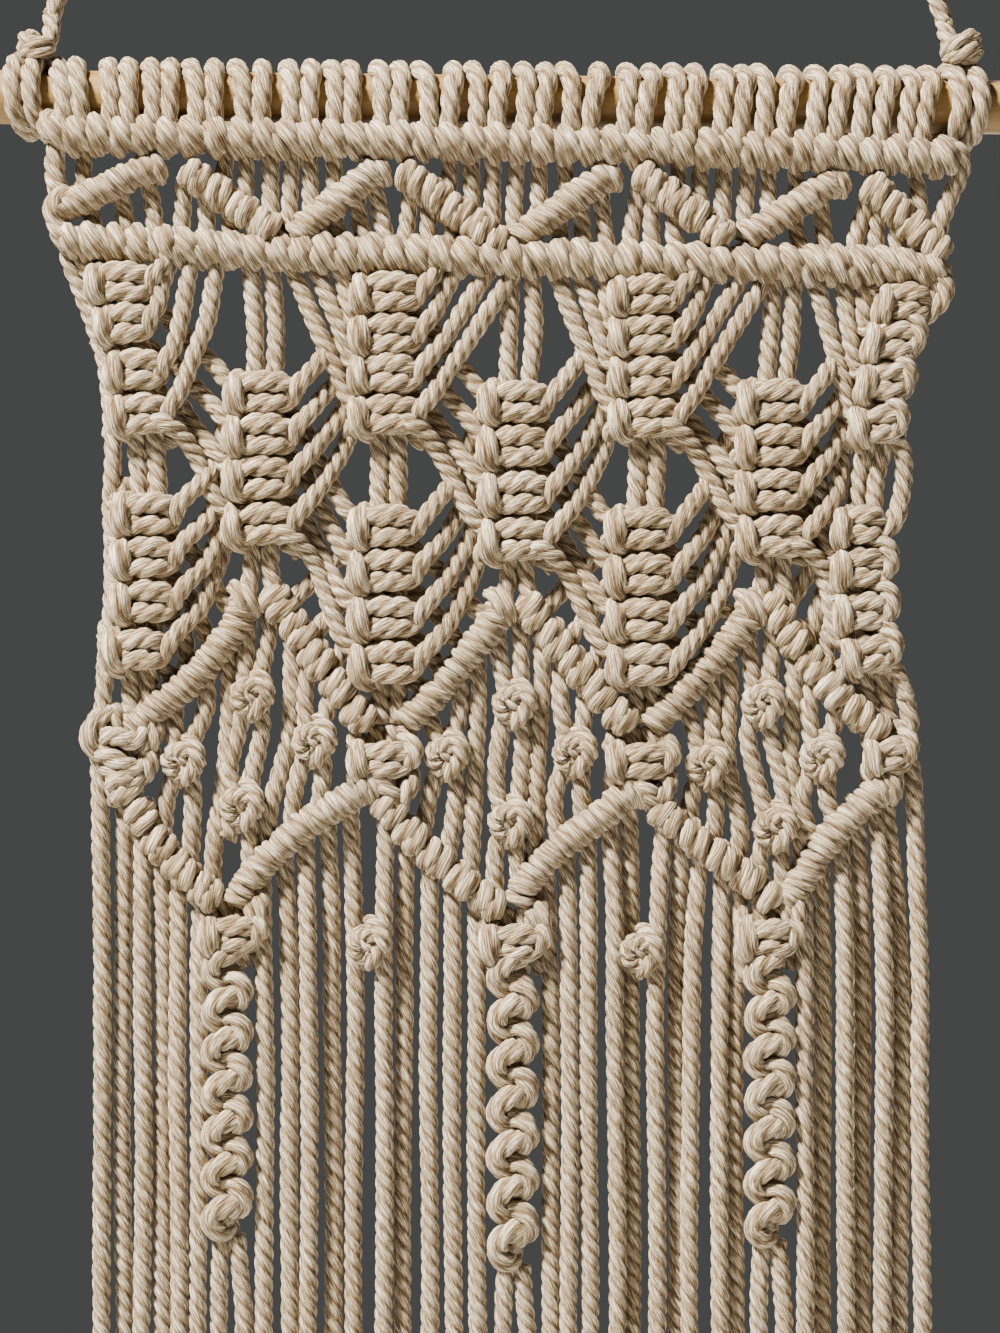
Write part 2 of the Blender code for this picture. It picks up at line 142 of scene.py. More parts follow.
class Mesh:
    """Gathers ropes into one mesh object."""

    def __init__(self, name):
        self.name, self.co, self.quads, self.tris, self.fib, self.tone = name, [], [], [], [], []
        self.count = 0

    def rope(self, points, r=R, pitch=PITCH, phase=None, lift=None, flat=1.0, step=STEP,
             taper=(0, 0), depth=1.0, raw=False, tone=None, swell=None, slow=None):
        """A twisted rope through points (px, py, w).  flat < 1 squeezes it along w; swell and
        slow multiply its radius and the length of a turn at each of the points."""
        pts = np.asarray(points, float) if raw else world(points)
        path, at = smooth(pts, step)
        tan, a, b = transport(path)
        m = len(path)
        phase = RNG.u(0, 6.283) if phase is None else phase
        chord = np.concatenate([[0.0], np.cumsum(np.linalg.norm(np.diff(pts, axis=0), axis=1))])
        chord *= at[-1] / chord[-1]
        if slow is None:
            turn = phase - 2 * math.pi * at / pitch  # S twist
        else:
            rate = 1.0 / (pitch * np.interp(at, chord, slow))
            step_ = at[1] - at[0]
            turn = phase - 2 * math.pi * step_ * (np.cumsum(rate) - rate[0])
        k = np.arange(AROUND)
        lobe = 1.0 - (1.0 - LOBE[k % 4]) * depth
        ang = 2 * math.pi * k / AROUND
        grow = np.ones(m) if swell is None else np.interp(at, chord, swell)
        for end, length in zip((0, 1), taper):
            if length:
                d = at if end == 0 else at[-1] - at
                grow *= np.clip(0.35 + 0.65 * d / length, 0.35, 1.0)
        wave = 1.0 + 0.022 * np.sin(at / 0.0031 + phase * 3) + 0.018 * np.sin(at / 0.0071 + phase)
        rad = r * (grow * wave)[:, None] * lobe[None, :]
        th = turn[:, None] + ang[None, :]
        ring = (
            a[:, None, :] * (rad * np.cos(th))[..., None]
            + b[:, None, :] * (rad * np.sin(th))[..., None]
        )
        if flat != 1.0:
            ring[..., 1] *= flat
        co = path[:, None, :] + ring
        base = self.count
        self.co.append(co.reshape(-1, 3))
        idx = base + np.arange(m * AROUND).reshape(m, AROUND)
        nxt = np.roll(idx, -1, axis=1)
        self.quads.append(
            np.stack([idx[:-1], nxt[:-1], nxt[1:], idx[1:]], axis=-1).reshape(-1, 4)
        )
        offset = RNG.u(0, 1.0)
        fib = np.empty((m, AROUND, 3))
        lie = ang[None, :] + 0.55 * turn[:, None]  # fibres lie closer to the cord's own axis
        fib[..., 0] = np.cos(lie) * 2.1 + offset * 37.0
        fib[..., 1] = np.sin(lie) * 2.1 + offset * 91.0
        fib[..., 2] = at[:, None] * 1000.0 + offset * 500.0
        self.fib.append(fib.reshape(-1, 3))
        t = RNG.u(0.0, 1.0) if tone is None else tone
        # mask for painted shade: 0 in the grooves between plies, 1 on the crowns; the material darkens the grooves with
        # it
        groove_shade = np.tile((lobe - lobe.min()) / max(lobe.max() - lobe.min(), 1e-6), (m, 1))
        tone_and_groove_shade = np.zeros((m, AROUND, 3))
        tone_and_groove_shade[..., 0] = t
        tone_and_groove_shade[..., 1] = groove_shade
        self.tone.append(tone_and_groove_shade.reshape(-1, 3))
        self.count += m * AROUND
        # end caps: a fan to a point a little outside the end
        for ring_i, sign in ((0, -1.0), (m - 1, 1.0)):
            tip = path[ring_i] + tan[ring_i] * sign * r * 0.45 * grow[ring_i]
            self.co.append(tip[None, :])
            self.fib.append(fib[ring_i, :1])
            self.tone.append(tone_and_groove_shade[ring_i, 2:3])
            c = self.count
            self.count += 1
            row, nx = idx[ring_i], nxt[ring_i]
            if sign < 0:
                self.tris.append(np.stack([nx, row, np.full(AROUND, c)], axis=-1))
            else:
                self.tris.append(np.stack([row, nx, np.full(AROUND, c)], axis=-1))
        return path

    def build(self, mat, nodes=(), slot="cotton_cord"):
        co = np.vstack(self.co)
        quads = np.vstack(self.quads)
        tris = np.vstack(self.tris)
        me = bpy.data.meshes.new(self.name)
        me.vertices.add(len(co))
        me.vertices.foreach_set("co", co.ravel())
        loops = np.concatenate([quads.ravel(), tris.ravel()])
        me.loops.add(len(loops))
        me.loops.foreach_set("vertex_index", loops.astype(np.int32))
        nq, nt = len(quads), len(tris)
        me.polygons.add(nq + nt)
        start = np.concatenate([np.arange(nq) * 4, nq * 4 + np.arange(nt) * 3])
        me.polygons.foreach_set("loop_start", start.astype(np.int32))
        me.polygons.foreach_set("use_smooth", np.ones(nq + nt, bool))
        me.update(calc_edges=True)
        # the "tone" attribute holds each strand's own tone in x and the painted groove shade mask in y
        for name, data in (("fibre", self.fib), ("tone", self.tone)):
            attr = me.attributes.new(name, "FLOAT_VECTOR", "POINT")
            attr.data.foreach_set("vector", np.vstack(data).astype(np.float32).ravel())
        me.validate()
        me.materials.append(mat)
        ob = bpy.data.objects.new(self.name, me)
        bpy.context.scene.collection.objects.link(ob)
        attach(ob, "root")
        if nodes:
            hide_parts(*nodes)
        print(self.name, "triangles", nq * 2 + nt)
        return ob


# ---------------------------------------------------------------- materials
def node(nt, kind, **inputs):
    n = nt.nodes.new(kind)
    for k, v in inputs.items():
        n.inputs[k].default_value = v
    return n


def cotton_material():
    mat = bpy.data.materials.new("cotton_rope")
    mat.use_nodes = True
    nt = mat.node_tree
    link = nt.links.new
    p = nt.nodes["Principled BSDF"]
    p.inputs["Roughness"].default_value = 0.88
    p.inputs["Specular IOR Level"].default_value = 0.28
    p.inputs["Sheen Weight"].default_value = 0.08
    p.inputs["Sheen Roughness"].default_value = 0.5
    p.inputs["Sheen Tint"].default_value = (1.0, 0.95, 0.88, 1.0)
    fib = nt.nodes.new("ShaderNodeAttribute")
    fib.attribute_name = "fibre"
    tone = nt.nodes.new("ShaderNodeAttribute")
    tone.attribute_name = "tone"
    split = nt.nodes.new("ShaderNodeSeparateXYZ")
    link(tone.outputs["Vector"], split.inputs["Vector"])
    # fine fibres run along each ply
    m1 = nt.nodes.new("ShaderNodeMapping")
    m1.inputs["Scale"].default_value = (5.0, 5.0, 0.36)
    link(fib.outputs["Vector"], m1.inputs["Vector"])
    n1 = node(nt, "ShaderNodeTexNoise", Scale=1.0, Detail=3.0, Roughness=0.6)
    link(m1.outputs["Vector"], n1.inputs["Vector"])
    m2 = nt.nodes.new("ShaderNodeMapping")
    m2.inputs["Scale"].default_value = (1.1, 1.1, 0.22)
    link(fib.outputs["Vector"], m2.inputs["Vector"])
    n2 = node(nt, "ShaderNodeTexNoise", Scale=1.0, Detail=2.0, Roughness=0.5)
    link(m2.outputs["Vector"], n2.inputs["Vector"])
    geo = nt.nodes.new("ShaderNodeTexCoord")
    n3 = node(nt, "ShaderNodeTexNoise", Scale=38.0, Detail=2.0, Roughness=0.5)
    link(geo.outputs["Object"], n3.inputs["Vector"])
    ramp = nt.nodes.new("ShaderNodeValToRGB")
    e = ramp.color_ramp.elements
    e[0].position, e[0].color = 0.39, (0.112, 0.074, 0.036, 1)
    e[1].position, e[1].color = 0.655, (0.96, 0.895, 0.735, 1)
    mid = e.new(0.515)
    mid.color = (0.395, 0.315, 0.200, 1)
    link(n1.outputs["Fac"], ramp.inputs["Fac"])
    warm = nt.nodes.new("ShaderNodeMix")
    warm.data_type = "RGBA"
    warm.blend_type = "MULTIPLY"
    warm.inputs["Factor"].default_value = 1.0
    link(ramp.outputs["Color"], warm.inputs["A"])
    ramp2 = nt.nodes.new("ShaderNodeValToRGB")
    f = ramp2.color_ramp.elements
    f[0].position, f[0].color = 0.30, (0.86, 0.80, 0.72, 1)
    f[1].position, f[1].color = 0.70, (1.0, 1.0, 1.0, 1)
    link(n2.outputs["Fac"], ramp2.inputs["Fac"])
    link(ramp2.outputs["Color"], warm.inputs["B"])
    big = nt.nodes.new("ShaderNodeMix")
    big.data_type = "RGBA"
    big.blend_type = "MULTIPLY"
    big.inputs["Factor"].default_value = 1.0
    ramp3 = nt.nodes.new("ShaderNodeValToRGB")
    g = ramp3.color_ramp.elements
    g[0].position, g[0].color = 0.30, (0.90, 0.86, 0.80, 1)
    g[1].position, g[1].color = 0.66, (1.0, 1.0, 1.0, 1)
    link(n3.outputs["Fac"], ramp3.inputs["Fac"])
    link(warm.outputs["Result"], big.inputs["A"])
    link(ramp3.outputs["Color"], big.inputs["B"])
    # painted shade: the base colour is darkened in the grooves between plies
    groove_shade_mix = nt.nodes.new("ShaderNodeMix")
    groove_shade_mix.data_type = "RGBA"
    groove_shade_mix.blend_type = "MULTIPLY"
    groove_shade_mix.inputs["Factor"].default_value = 1.0
    groove_shade_ramp = nt.nodes.new("ShaderNodeValToRGB")
    h = groove_shade_ramp.color_ramp.elements
    h[0].position, h[0].color = 0.0, (0.42, 0.32, 0.22, 1)
    h[1].position, h[1].color = 0.78, (1.0, 1.0, 1.0, 1)
    link(split.outputs["Y"], groove_shade_ramp.inputs["Fac"])
    link(big.outputs["Result"], groove_shade_mix.inputs["A"])
    link(groove_shade_ramp.outputs["Color"], groove_shade_mix.inputs["B"])
    # each strand has its own slight tone
    own = nt.nodes.new("ShaderNodeMix")
    own.data_type = "RGBA"
    own.blend_type = "MULTIPLY"
    own.inputs["Factor"].default_value = 1.0
    ramp5 = nt.nodes.new("ShaderNodeValToRGB")
    q = ramp5.color_ramp.elements
    q[0].position, q[0].color = 0.0, (0.92, 0.90, 0.87, 1)
    q[1].position, q[1].color = 1.0, (1.0, 1.0, 1.0, 1)
    link(split.outputs["X"], ramp5.inputs["Fac"])
    link(groove_shade_mix.outputs["Result"], own.inputs["A"])
    link(ramp5.outputs["Color"], own.inputs["B"])
    link(own.outputs["Result"], p.inputs["Base Color"])
    bump = node(nt, "ShaderNodeBump", Strength=1.0, Distance=0.00045)
    link(n1.outputs["Fac"], bump.inputs["Height"])
    link(bump.outputs["Normal"], p.inputs["Normal"])
    return mat


def wood_material():
    mat = bpy.data.materials.new("dowel_wood")
    mat.use_nodes = True
    nt = mat.node_tree
    link = nt.links.new
    p = nt.nodes["Principled BSDF"]
    p.inputs["Specular IOR Level"].default_value = 0.22
    geo = nt.nodes.new("ShaderNodeTexCoord")
    m = nt.nodes.new("ShaderNodeMapping")
    m.inputs["Scale"].default_value = (18.0, 420.0, 420.0)
    link(geo.outputs["Object"], m.inputs["Vector"])
    n = node(nt, "ShaderNodeTexNoise", Scale=1.0, Detail=4.0, Roughness=0.6, Distortion=0.4)
    link(m.outputs["Vector"], n.inputs["Vector"])
    ramp = nt.nodes.new("ShaderNodeValToRGB")
    e = ramp.color_ramp.elements
    e[0].position, e[0].color = 0.30, (0.150, 0.086, 0.027, 1)
    e[1].position, e[1].color = 0.70, (0.245, 0.150, 0.050, 1)
    link(n.outputs["Fac"], ramp.inputs["Fac"])
    link(ramp.outputs["Color"], p.inputs["Base Color"])
    rr = nt.nodes.new("ShaderNodeMapRange")
    rr.inputs["To Min"].default_value = 0.42
    rr.inputs["To Max"].default_value = 0.60
    link(n.outputs["Fac"], rr.inputs["Value"])
    link(rr.outputs["Result"], p.inputs["Roughness"])
    bump = node(nt, "ShaderNodeBump", Strength=0.25, Distance=0.0001)
    link(n.outputs["Fac"], bump.inputs["Height"])
    link(bump.outputs["Normal"], p.inputs["Normal"])
    return mat


COTTON = cotton_material()
WOOD = wood_material()
for slot_ in bpy.data.objects["dowel"].material_slots:
    slot_.material = WOOD

# ---------------------------------------------------------------- camera, floor, light
DIST = 0.62
cam_data = bpy.data.cameras.new("camera")
cam = bpy.data.objects.new("camera", cam_data)
bpy.context.scene.collection.objects.link(cam)
look = Vector(world([(500.0, 666.5, 0.0)])[0])
back = Vector((0.0, -1.0, 0.0))
right = Vector((CT, 0.0, ST))
# image right follows the frame's tilt: the dowel slopes down to the right in the picture
right = Vector((CT, 0.0, ST))
up = Vector((-ST, 0.0, CT))
m = Matrix.Identity(4)
for i, axis in enumerate((right, up, back)):
    for j in range(3):
        m[j][i] = axis[j]
m.translation = look + back * DIST
cam.matrix_world = m
cam_data.sensor_width = 36.0
cam_data.lens = 36.0 * DIST / (1333 * S)
cam_data.clip_start = 0.01
cam_data.clip_end = 50.0
bpy.context.scene.camera = cam

world_data = bpy.data.worlds.new("studio")
bpy.context.scene.world = world_data
world_data.use_nodes = True
bg = world_data.node_tree.nodes["Background"]
bg.inputs["Color"].default_value = (0.56, 0.57, 0.57, 1.0)
bg.inputs["Strength"].default_value = 0.12


def area(name, place, target, size, power, colour):
    data = bpy.data.lights.new(name, "AREA")
    data.shape = "RECTANGLE"
    data.size, data.size_y = size
    data.energy = power
    data.color = colour
    ob = bpy.data.objects.new(name, data)
    bpy.context.scene.collection.objects.link(ob)
    ob.location = place
    ob.rotation_euler = (Vector(target) - Vector(place)).to_track_quat("-Z", "Y").to_euler()
    return ob


mid = (0.0, 0.0, -0.42)
area("key", (-0.80, -0.68, 0.74), mid, (0.20, 0.20), 186.0, (1.0, 0.955, 0.872))
area("fill", (0.9, -1.0, -0.2), mid, (0.9, 0.9), 0.7, (1.0, 0.97, 0.94))
area("rim", (0.25, 0.9, 0.35), mid, (0.8, 0.8), 2.0, (1.0, 1.0, 1.0))
area("back", (0.35, 1.30, -0.25), mid, (1.1, 1.1), 16.0, (1.0, 0.985, 0.96))

floor_me = bpy.data.meshes.new("floor")
n_f = 64
ring_pts = [(0.95 * math.cos(2 * math.pi * i / n_f), 0.95 * math.sin(2 * math.pi * i / n_f), -0.86) for i in range(n_f)]
floor_me.from_pydata(ring_pts, [], [list(range(n_f))])
floor = bpy.data.objects.new("floor", floor_me)
bpy.context.scene.collection.objects.link(floor)
fmat = bpy.data.materials.new("floor_pale")
fmat.use_nodes = True
fmat.node_tree.nodes["Principled BSDF"].inputs["Base Color"].default_value = (0.72, 0.71, 0.69, 1)
fmat.node_tree.nodes["Principled BSDF"].inputs["Roughness"].default_value = 0.9
floor_me.materials.append(fmat)


# ---------------------------------------------------------------- building blocks
def wrap(mesh, c, t, up_dir, ry, rw, lean, r, pitch, reach=168.0, tone=None, flat=1.0, skew=0.0):
    """One turn of a strand round a holding cord.

    c: centre (px, py, w); t: unit direction of the holder in the picture; up_dir: unit
    vector across it; lean: how far the front of the turn shifts along t from its upper to
    its lower end.
    """
    pts = []
    for a in np.linspace(reach, -reach, 13):
        s, co = math.sin(math.radians(a)), math.cos(math.radians(a))
        along = -lean / 2 * s + skew * co
        pts.append(
            (
                c[0] + t[0] * along + up_dir[0] * ry * s,
                c[1] + t[1] * along + up_dir[1] * ry * s,
                c[2] + rw * co,
            )
        )
    return mesh.rope(pts, r=r, pitch=pitch, tone=tone, flat=flat)


def polyline_at(points, share):
    p = np.asarray(points, float)
    seg = np.linalg.norm(np.diff(p, axis=0), axis=1)
    along = np.concatenate([[0.0], np.cumsum(seg)])
    at = share * along[-1]
    pos = np.array([np.interp(at, along, p[:, k]) for k in range(p.shape[1])])
    i = min(int(np.searchsorted(along, at, side="right")) - 1, len(seg) - 1)
    t = (p[i + 1] - p[i]) / seg[i]
    return pos, t, along[-1]


def line_y(line, x):
    return float(np.interp(x, [p[0] for p in line], [p[1] for p in line]))


def hitches(mesh, line, half, gap, w=0.0, lean=10.0, big=10.8, depth=21.0, pitch=0.024, small=None,
            small_w=-5.0, small_half=None, shift_y=0.0, jitter=0.8, small_pitch=0.014, pair=0.0):
    """A bar of double half hitches along line [(px, py), ...].

    half: half the bar's height; gap: distance from one large turn to the next; small: radius
    of the second turn of each hitch, which sits deeper between the large ones.
    """
    mesh.rope([(x, y, w) for x, y in line], r=9.0 * S)
    length = polyline_at(line, 0.5)[2]
    n = max(1, int(round(length / gap)))
    for i in range(n):
        for second in (False, True):
            if second and (small is None or i == n - 1):
                continue
            pos, t, _ = polyline_at(line, (i + (1.0 if second else 0.5 + (pair if i % 2 == 0 else -pair))) / n)
            up_dir = np.array([t[1], -t[0]])
            if up_dir[1] > 0:
                up_dir = -up_dir
            r = (small if second else big) + RNG.u(-0.25, 0.25) * jitter
            h = (small_half or half) if second else half
            ry = max(h - r + RNG.u(-0.5, 0.5) * jitter, 3.0)
            rw = max(depth - r + (small_w if second else 0.0) + RNG.u(-0.5, 0.5) * jitter, 3.0)
            j = RNG.u(-1.1, 1.1) * jitter
            sy = (shift_y if second else -shift_y) + RNG.u(-0.6, 0.6) * jitter
            wrap(
                mesh,
                (pos[0] + t[0] * j - up_dir[0] * sy, pos[1] + t[1] * j - up_dir[1] * sy, w),
                t, up_dir, ry, rw,
                lean * (1.2 if second else 1.0) + RNG.u(-2.0, 2.0) * jitter,
                r * S, (small_pitch if second else pitch) * RNG.u(0.9, 1.15),
            )


def square_knot(mesh, x, y, p_in, q_in, p_out, q_out, half=36.0, tall=42.0, r=10.2, w=0.0, pitch=PITCH,
                wide=1.0):
    """One square knot round two carrier strands at (x, y).

    P comes in on the left, crosses the front twice; Q comes in on the right over P, runs
    behind, shows as the upright bump on the left and leaves behind to the right.
    """
    k = half / 36.0
    v = tall / 40.0

    def at(u, d, h):
        return (x + u * k, y + d * v, w + h)

    j = [RNG.u(-1.1, 1.1) for _ in range(8)]
    p_mid = [
        at(-24, -10 + j[0], 8), at(-10, -10 + j[0], 17), at(6, -11, 18), at(20, -9 + j[1], 14),
        at(29, -1, 2), at(22, 7 + j[2], 11), at(8, 8 + j[2], 17), at(-8, 8 + j[3], 17), at(-22, 8 + j[3], 10),
    ]
    q_mid = [
        at(35, -8 + j[4], 18), at(27, 3, 11), at(17, 7, -6), at(2, 0, -18), at(-16, -7, -13),
        at(-22, -16, 1), at(-28 + j[5] * 0.5, -12, 13), at(-29, -1, 22), at(-28 + j[6] * 0.5, 10, 19), at(-20, 17, 5),
        at(-4, 15, -16), at(14, 13, -14),
    ]
    a, b = len(p_in), len(p_out)
    mesh.rope(
        list(p_in) + p_mid + list(p_out), r=R, pitch=pitch,
        swell=[1.0] * (a - 1) + [0.96] + [f * r / 9.6 for f in (0.98, 1.14, 1.18, 1.12, 0.95, 1.06, 1.16, 1.14, 1.0)] + [1.0] * b,
        slow=[1.0] * a + [1.0, 1.05, 1.05, 1.0, 1.0, 1.1, 1.2, 1.1, 1.0] + [1.0] * b,
    )
    a, b = len(q_in), len(q_out)
    mesh.rope(
        list(q_in) + q_mid + list(q_out), r=R, pitch=pitch,
        swell=[1.0] * a + [1.0, 0.98, 0.95, 0.92, 0.92, 0.96, 1.14, 1.27, 1.20, 1.0, 0.94, 0.94] + [0.96] * b,
        slow=[1.0] * a + [1.0, 1.0, 1.0, 1.2, 1.5, 2.0, 2.6, 3.0, 2.6, 1.8, 1.3, 1.1] + [1.0] * b,
    )


# ---------------------------------------------------------------- cords: hanger and fringe
def declared(mesh, nodes):
    ob = mesh.build(COTTON, nodes)
    return ob


def hanger_route():
    centre = Vector((0.0, CORD_D / 2 - 0.006))
    legs = []
    for side, (fx, fd) in enumerate(((-0.1016, 0.0186), (0.1004, 0.0189))):
        foot = Vector((fx, -HANG + fd))
        reach = foot - centre
        angle = math.atan2(reach.y, reach.x)
        turn = math.acos(0.006 / reach.length)
        a = angle - turn if side == 0 else angle + turn
        if side == 0:
            a %= 2 * math.pi
        else:
            a = (a + math.pi) % (2 * math.pi) - math.pi
        legs.append((foot, a))
    (left, la), (right_foot, ra) = legs
    touch = [centre + 0.006 * Vector((math.cos(q), math.sin(q))) for q in (la, ra)]
    pts = [left.lerp(touch[0], i / 6) for i in range(6)]
    pts += [
        centre + 0.006 * Vector((math.cos(la + (ra - la) * i / 10), math.sin(la + (ra - la) * i / 10)))
        for i in range(11)
    ]
    pts += [touch[1].lerp(right_foot, i / 6) for i in range(1, 7)]
    return [(q.x, 0.0, q.y) for q in pts]


hanger = Mesh("hanger_rope")
hanger_path = hanger.rope(hanger_route(), r=CORD_D / 2 * 0.99, raw=True, phase=1.0, tone=0.9)
declared(hanger, ("hanger_cord",))

# lower bars, for where each strand leaves
V_BARS = (
    ((118, 770), (124, 783), (134, 803), (147, 826), (162, 846), (179, 867), (199, 887), (221, 902)),
    ((236, 902), (251, 876), (268, 858), (286, 841), (307, 824), (329, 810), (351, 797), (366, 786)),
    ((378, 796), (391, 809), (407, 829), (425, 847), (443, 864), (464, 882), (482, 896), (502, 911)),
    ((518, 902), (524, 886), (538, 868), (555, 850), (573, 836), (594, 821), (612, 807), (633, 789)),
    ((656, 805), (664, 813), (681, 828), (699, 843), (716, 856), (734, 868), (751, 882), (772, 900)),
    ((785, 902), (795, 889), (807, 869), (820, 849), (838, 828), (855, 810), (873, 795), (884, 786)),
)


def v_bar_y(x):
    for line in V_BARS:
        if line[0][0] <= x <= line[-1][0]:
            return line_y(line, x)
    return 800.0


# x where a strand leaves its bar, x where it hangs
FRINGE = (
    (124, 122), (142, 143), (160, 163), (178, 179), (200, 199),
    (262, 265), (284, 290), (305, 309), (327, 332), (350, 354),
    (386, 384), (407, 403), (430, 429), (452, 453), (476, 477),
    (546, 551), (567, 569), (588, 589), (609, 616), (629, 632),
    (664, 656), (682, 677), (701, 690), (722, 720), (742, 736),
    (804, 804), (822, 824), (840, 845), (858, 864), (876, 883), (886, 902),
)


# those that hang behind their neighbours, and those level with neither
BEHIND = (122, 332, 354, 403, 632, 677, 736, 824, 864, 902)
BETWEEN = (163, 290, 429, 551, 720)


def end_y(x, d):
    return 99.0 + (d / 0.225 + (x - 500.0) * ST) / CT


def hang(points, x, y_from, y_end, sway=1.8, depth=0.0):
    """Carry a strand on down from y_from to its cut end, depth forward or back."""
    out = list(points)
    phase, amp = RNG.u(0, 6.28), RNG.u(0.4, 1.0) * sway
    drift = RNG.u(-2.0, 2.0)
    w0, w1 = depth + RNG.u(-2.0, 2.0), depth + RNG.u(-3.0, 3.0)
    n = max(2, int((y_end - y_from) / 62))
    for i in range(1, n + 1):
        f = i / n
        y = y_from + (y_end - y_from) * f
        out.append(
            (
                x + amp * math.sin(phase + f * 9.0) + drift * (f * f),
                y,
                w0 * (1 - f) + w1 * f + 1.4 * math.sin(phase * 2 + f * 7.0),
            )
        )
    return out


def strand(name, points, x, y_from, nodes=("fringe",), d=None, r=9.4 * S, depth=0.0):
    d = 371.0 + RNG.u(-1.7, 1.7) if d is None else d
    me_ = Mesh(name)
    path = me_.rope(hang(points, x, y_from, end_y(x, d), depth=depth), r=r, pitch=PITCH * RNG.u(0.94, 1.08))
    return declared(me_, nodes)


for i, (x0, x1) in enumerate(FRINGE):
    y0 = v_bar_y(x0)
    depth = -11.0 if x1 in BEHIND else (-2.0 if x1 in BETWEEN else 5.0)
    strand(
        "fringe_%02d" % (i + 1),
        [(x0, y0 + 4, -6), (x0 + (x1 - x0) * 0.2, y0 + 30, -4 + depth * 0.4),
         (x0 + (x1 - x0) * 0.75, y0 + 100, depth)],
        x1, y0 + 150, depth=depth,
    )
strand("fringe_edge_left", [(106, 672, 2), (103, 706, 2), (99, 745, 0), (100, 790, 0), (101, 850, 0)], 102, 900)
strand("fringe_edge_right", [(896, 671, 3), (901, 684, 4), (906, 703, 4), (910, 724, 4), (906, 740, 3), (907, 755, 2), (912, 769, 1),
                             (914, 792, 0), (916, 850, 0)], 921, 930)

# two tails below each sennit
SENNITS = ((229.5, 957, 1247, 7), (514.0, 962, 1277, 7), (770.0, 962, 1252, 7))
TAILS = ((218, 245), (502, 529), (758, 785))
for i, ((cx, top, foot, n), tails) in enumerate(zip(SENNITS, TAILS)):
    for side, x in zip(("left", "right"), tails):
        s_ = -8 if side == "left" else 8
        strand(
            "tail_%d_%s" % (i + 1, side),
            [(cx + s_, foot - 12, 0), (cx + s_ * 1.3, foot + 22, 0), (x - s_ * 0.1, foot + 70, 0)],
            x, foot + 100, nodes=("sennit_%d" % (i + 1),), d=369.5 + RNG.u(-1.0, 1.0),
        )

# ---------------------------------------------------------------- 1 loops on the dowel
LOOPS = (
    # x at the top of the dowel, x where it meets the first row
    (56, 68), (74, 83), (107, 114), (127, 131), (149, 156), (169, 171), (189, 200), (213, 215),
    (235, 246), (261, 262), (287, 293), (310, 309), (330, 337), (349, 352), (377, 383), (398, 399),
    (418, 430), (452, 449), (471, 478), (500, 496), (522, 525), (544, 542), (563, 571), (599, 588),
    (626, 624), (650, 641), (672, 672), (693, 689), (721, 720), (741, 738), (757, 762), (789, 782),
    (814, 812), (840, 833), (858, 858), (885, 877), (906, 903), (926, 919),
)
DOWEL_Y = 99.0


def dowel_y(x):
    return DOWEL_Y + (x - 500.0) * math.tan(TILT)


def row1_y(x):
    return 137.0 + (x - 40.0) * 23.0 / 915.0 - 3.0 * math.sin(math.pi * (x - 40.0) / 915.0)


def row2_y(x):
    return np.interp(x, [60, 300, 500, 700, 945], [243.0, 254.0, 259.5, 264.0, 270.0])


def over_dowel(x_top, x_foot, x_back, radius=31.0):
    """From the row up the front, over the dowel and down its back."""
    c = dowel_y(x_top)
    foot = row1_y(x_foot)
    pts = [(x_foot, foot + 2.0, 6.0), (x_foot, foot - 12.0, 15.0)]
    for a, f in ((6, 0.72), (35, 0.35), (65, 0.08), (95, 0.0), (125, 0.3), (155, 0.6), (185, 0.9)):
        t = math.radians(a)
        xx = x_top + (x_foot - x_top) * f if a < 95 else x_top + (x_back - x_top) * f
        if a < 80:  # the legs bow to the right, most at the right-hand end
            xx += (1.0 + 7.0 * (x_top - 60.0) / 860.0) * math.sin(math.radians(a) * 2.2 + 0.35)
        pts.append((xx, c - radius * math.sin(t), DOWEL_W + radius * math.cos(t)))
    return pts


loops = Mesh("mounting_loops")
for i in range(0, len(LOOPS) - 1, 2):
    (t0, f0), (t1, f1) = LOOPS[i], LOOPS[i + 1]
    midx = (t0 + t1) / 2
    first = over_dowel(t0, f0, t0 + 1.5)
    second = over_dowel(t1, f1, t1 - 1.5)
    c = dowel_y(midx)
    bight = [
        (t0 + 1.0, c + 22.0, DOWEL_W - 32.0),
        (t0 + 5.0, c + 34.0, DOWEL_W - 27.0),
        (midx, c + 38.0, DOWEL_W - 27.0),
        (t1 - 5.0, c + 34.0, DOWEL_W - 27.0),
        (t1 - 1.0, c + 22.0, DOWEL_W - 32.0),
    ]
    loops.rope(first + bight + second[::-1], r=10.3 * S, pitch=0.0145)

# ---------------------------------------------------------------- 2 first row
ROW_W = 10.0
xs = np.linspace(46, 953, 9)
row1 = [(float(x), float(row1_y(x))) for x in xs]
rows = Mesh("row_1")
ROWS = dict(gap=23.4, lean=10.5, big=10.9, depth=24.0, pitch=0.0420, small=8.4, small_w=-4.0, shift_y=2.4,
            small_pitch=0.042, jitter=1.6)
hitches(rows, row1, 20.5, w=ROW_W, **ROWS)
rows.rope([(60, 140, ROW_W + 4), (50, 133, ROW_W + 9), (49, 124, ROW_W + 10), (58, 121, ROW_W + 4), (66, 130, ROW_W)], r=10.0 * S)

rows.rope([(942, 148, ROW_W - 2), (955, 152, ROW_W + 3), (960, 166, ROW_W + 1), (957, 180, 7), (951, 194, 4), (944, 212, 3),
           (939, 228, 2), (937, 246, 0)], r=9.8 * S)

# ---------------------------------------------------------------- 3 second row
row2_line = [(float(x), float(row2_y(x))) for x in np.linspace(62, 944, 11)]
row2 = Mesh("row_2_hitches")
hitches(row2, row2_line, 20.5, w=6.0, **ROWS)

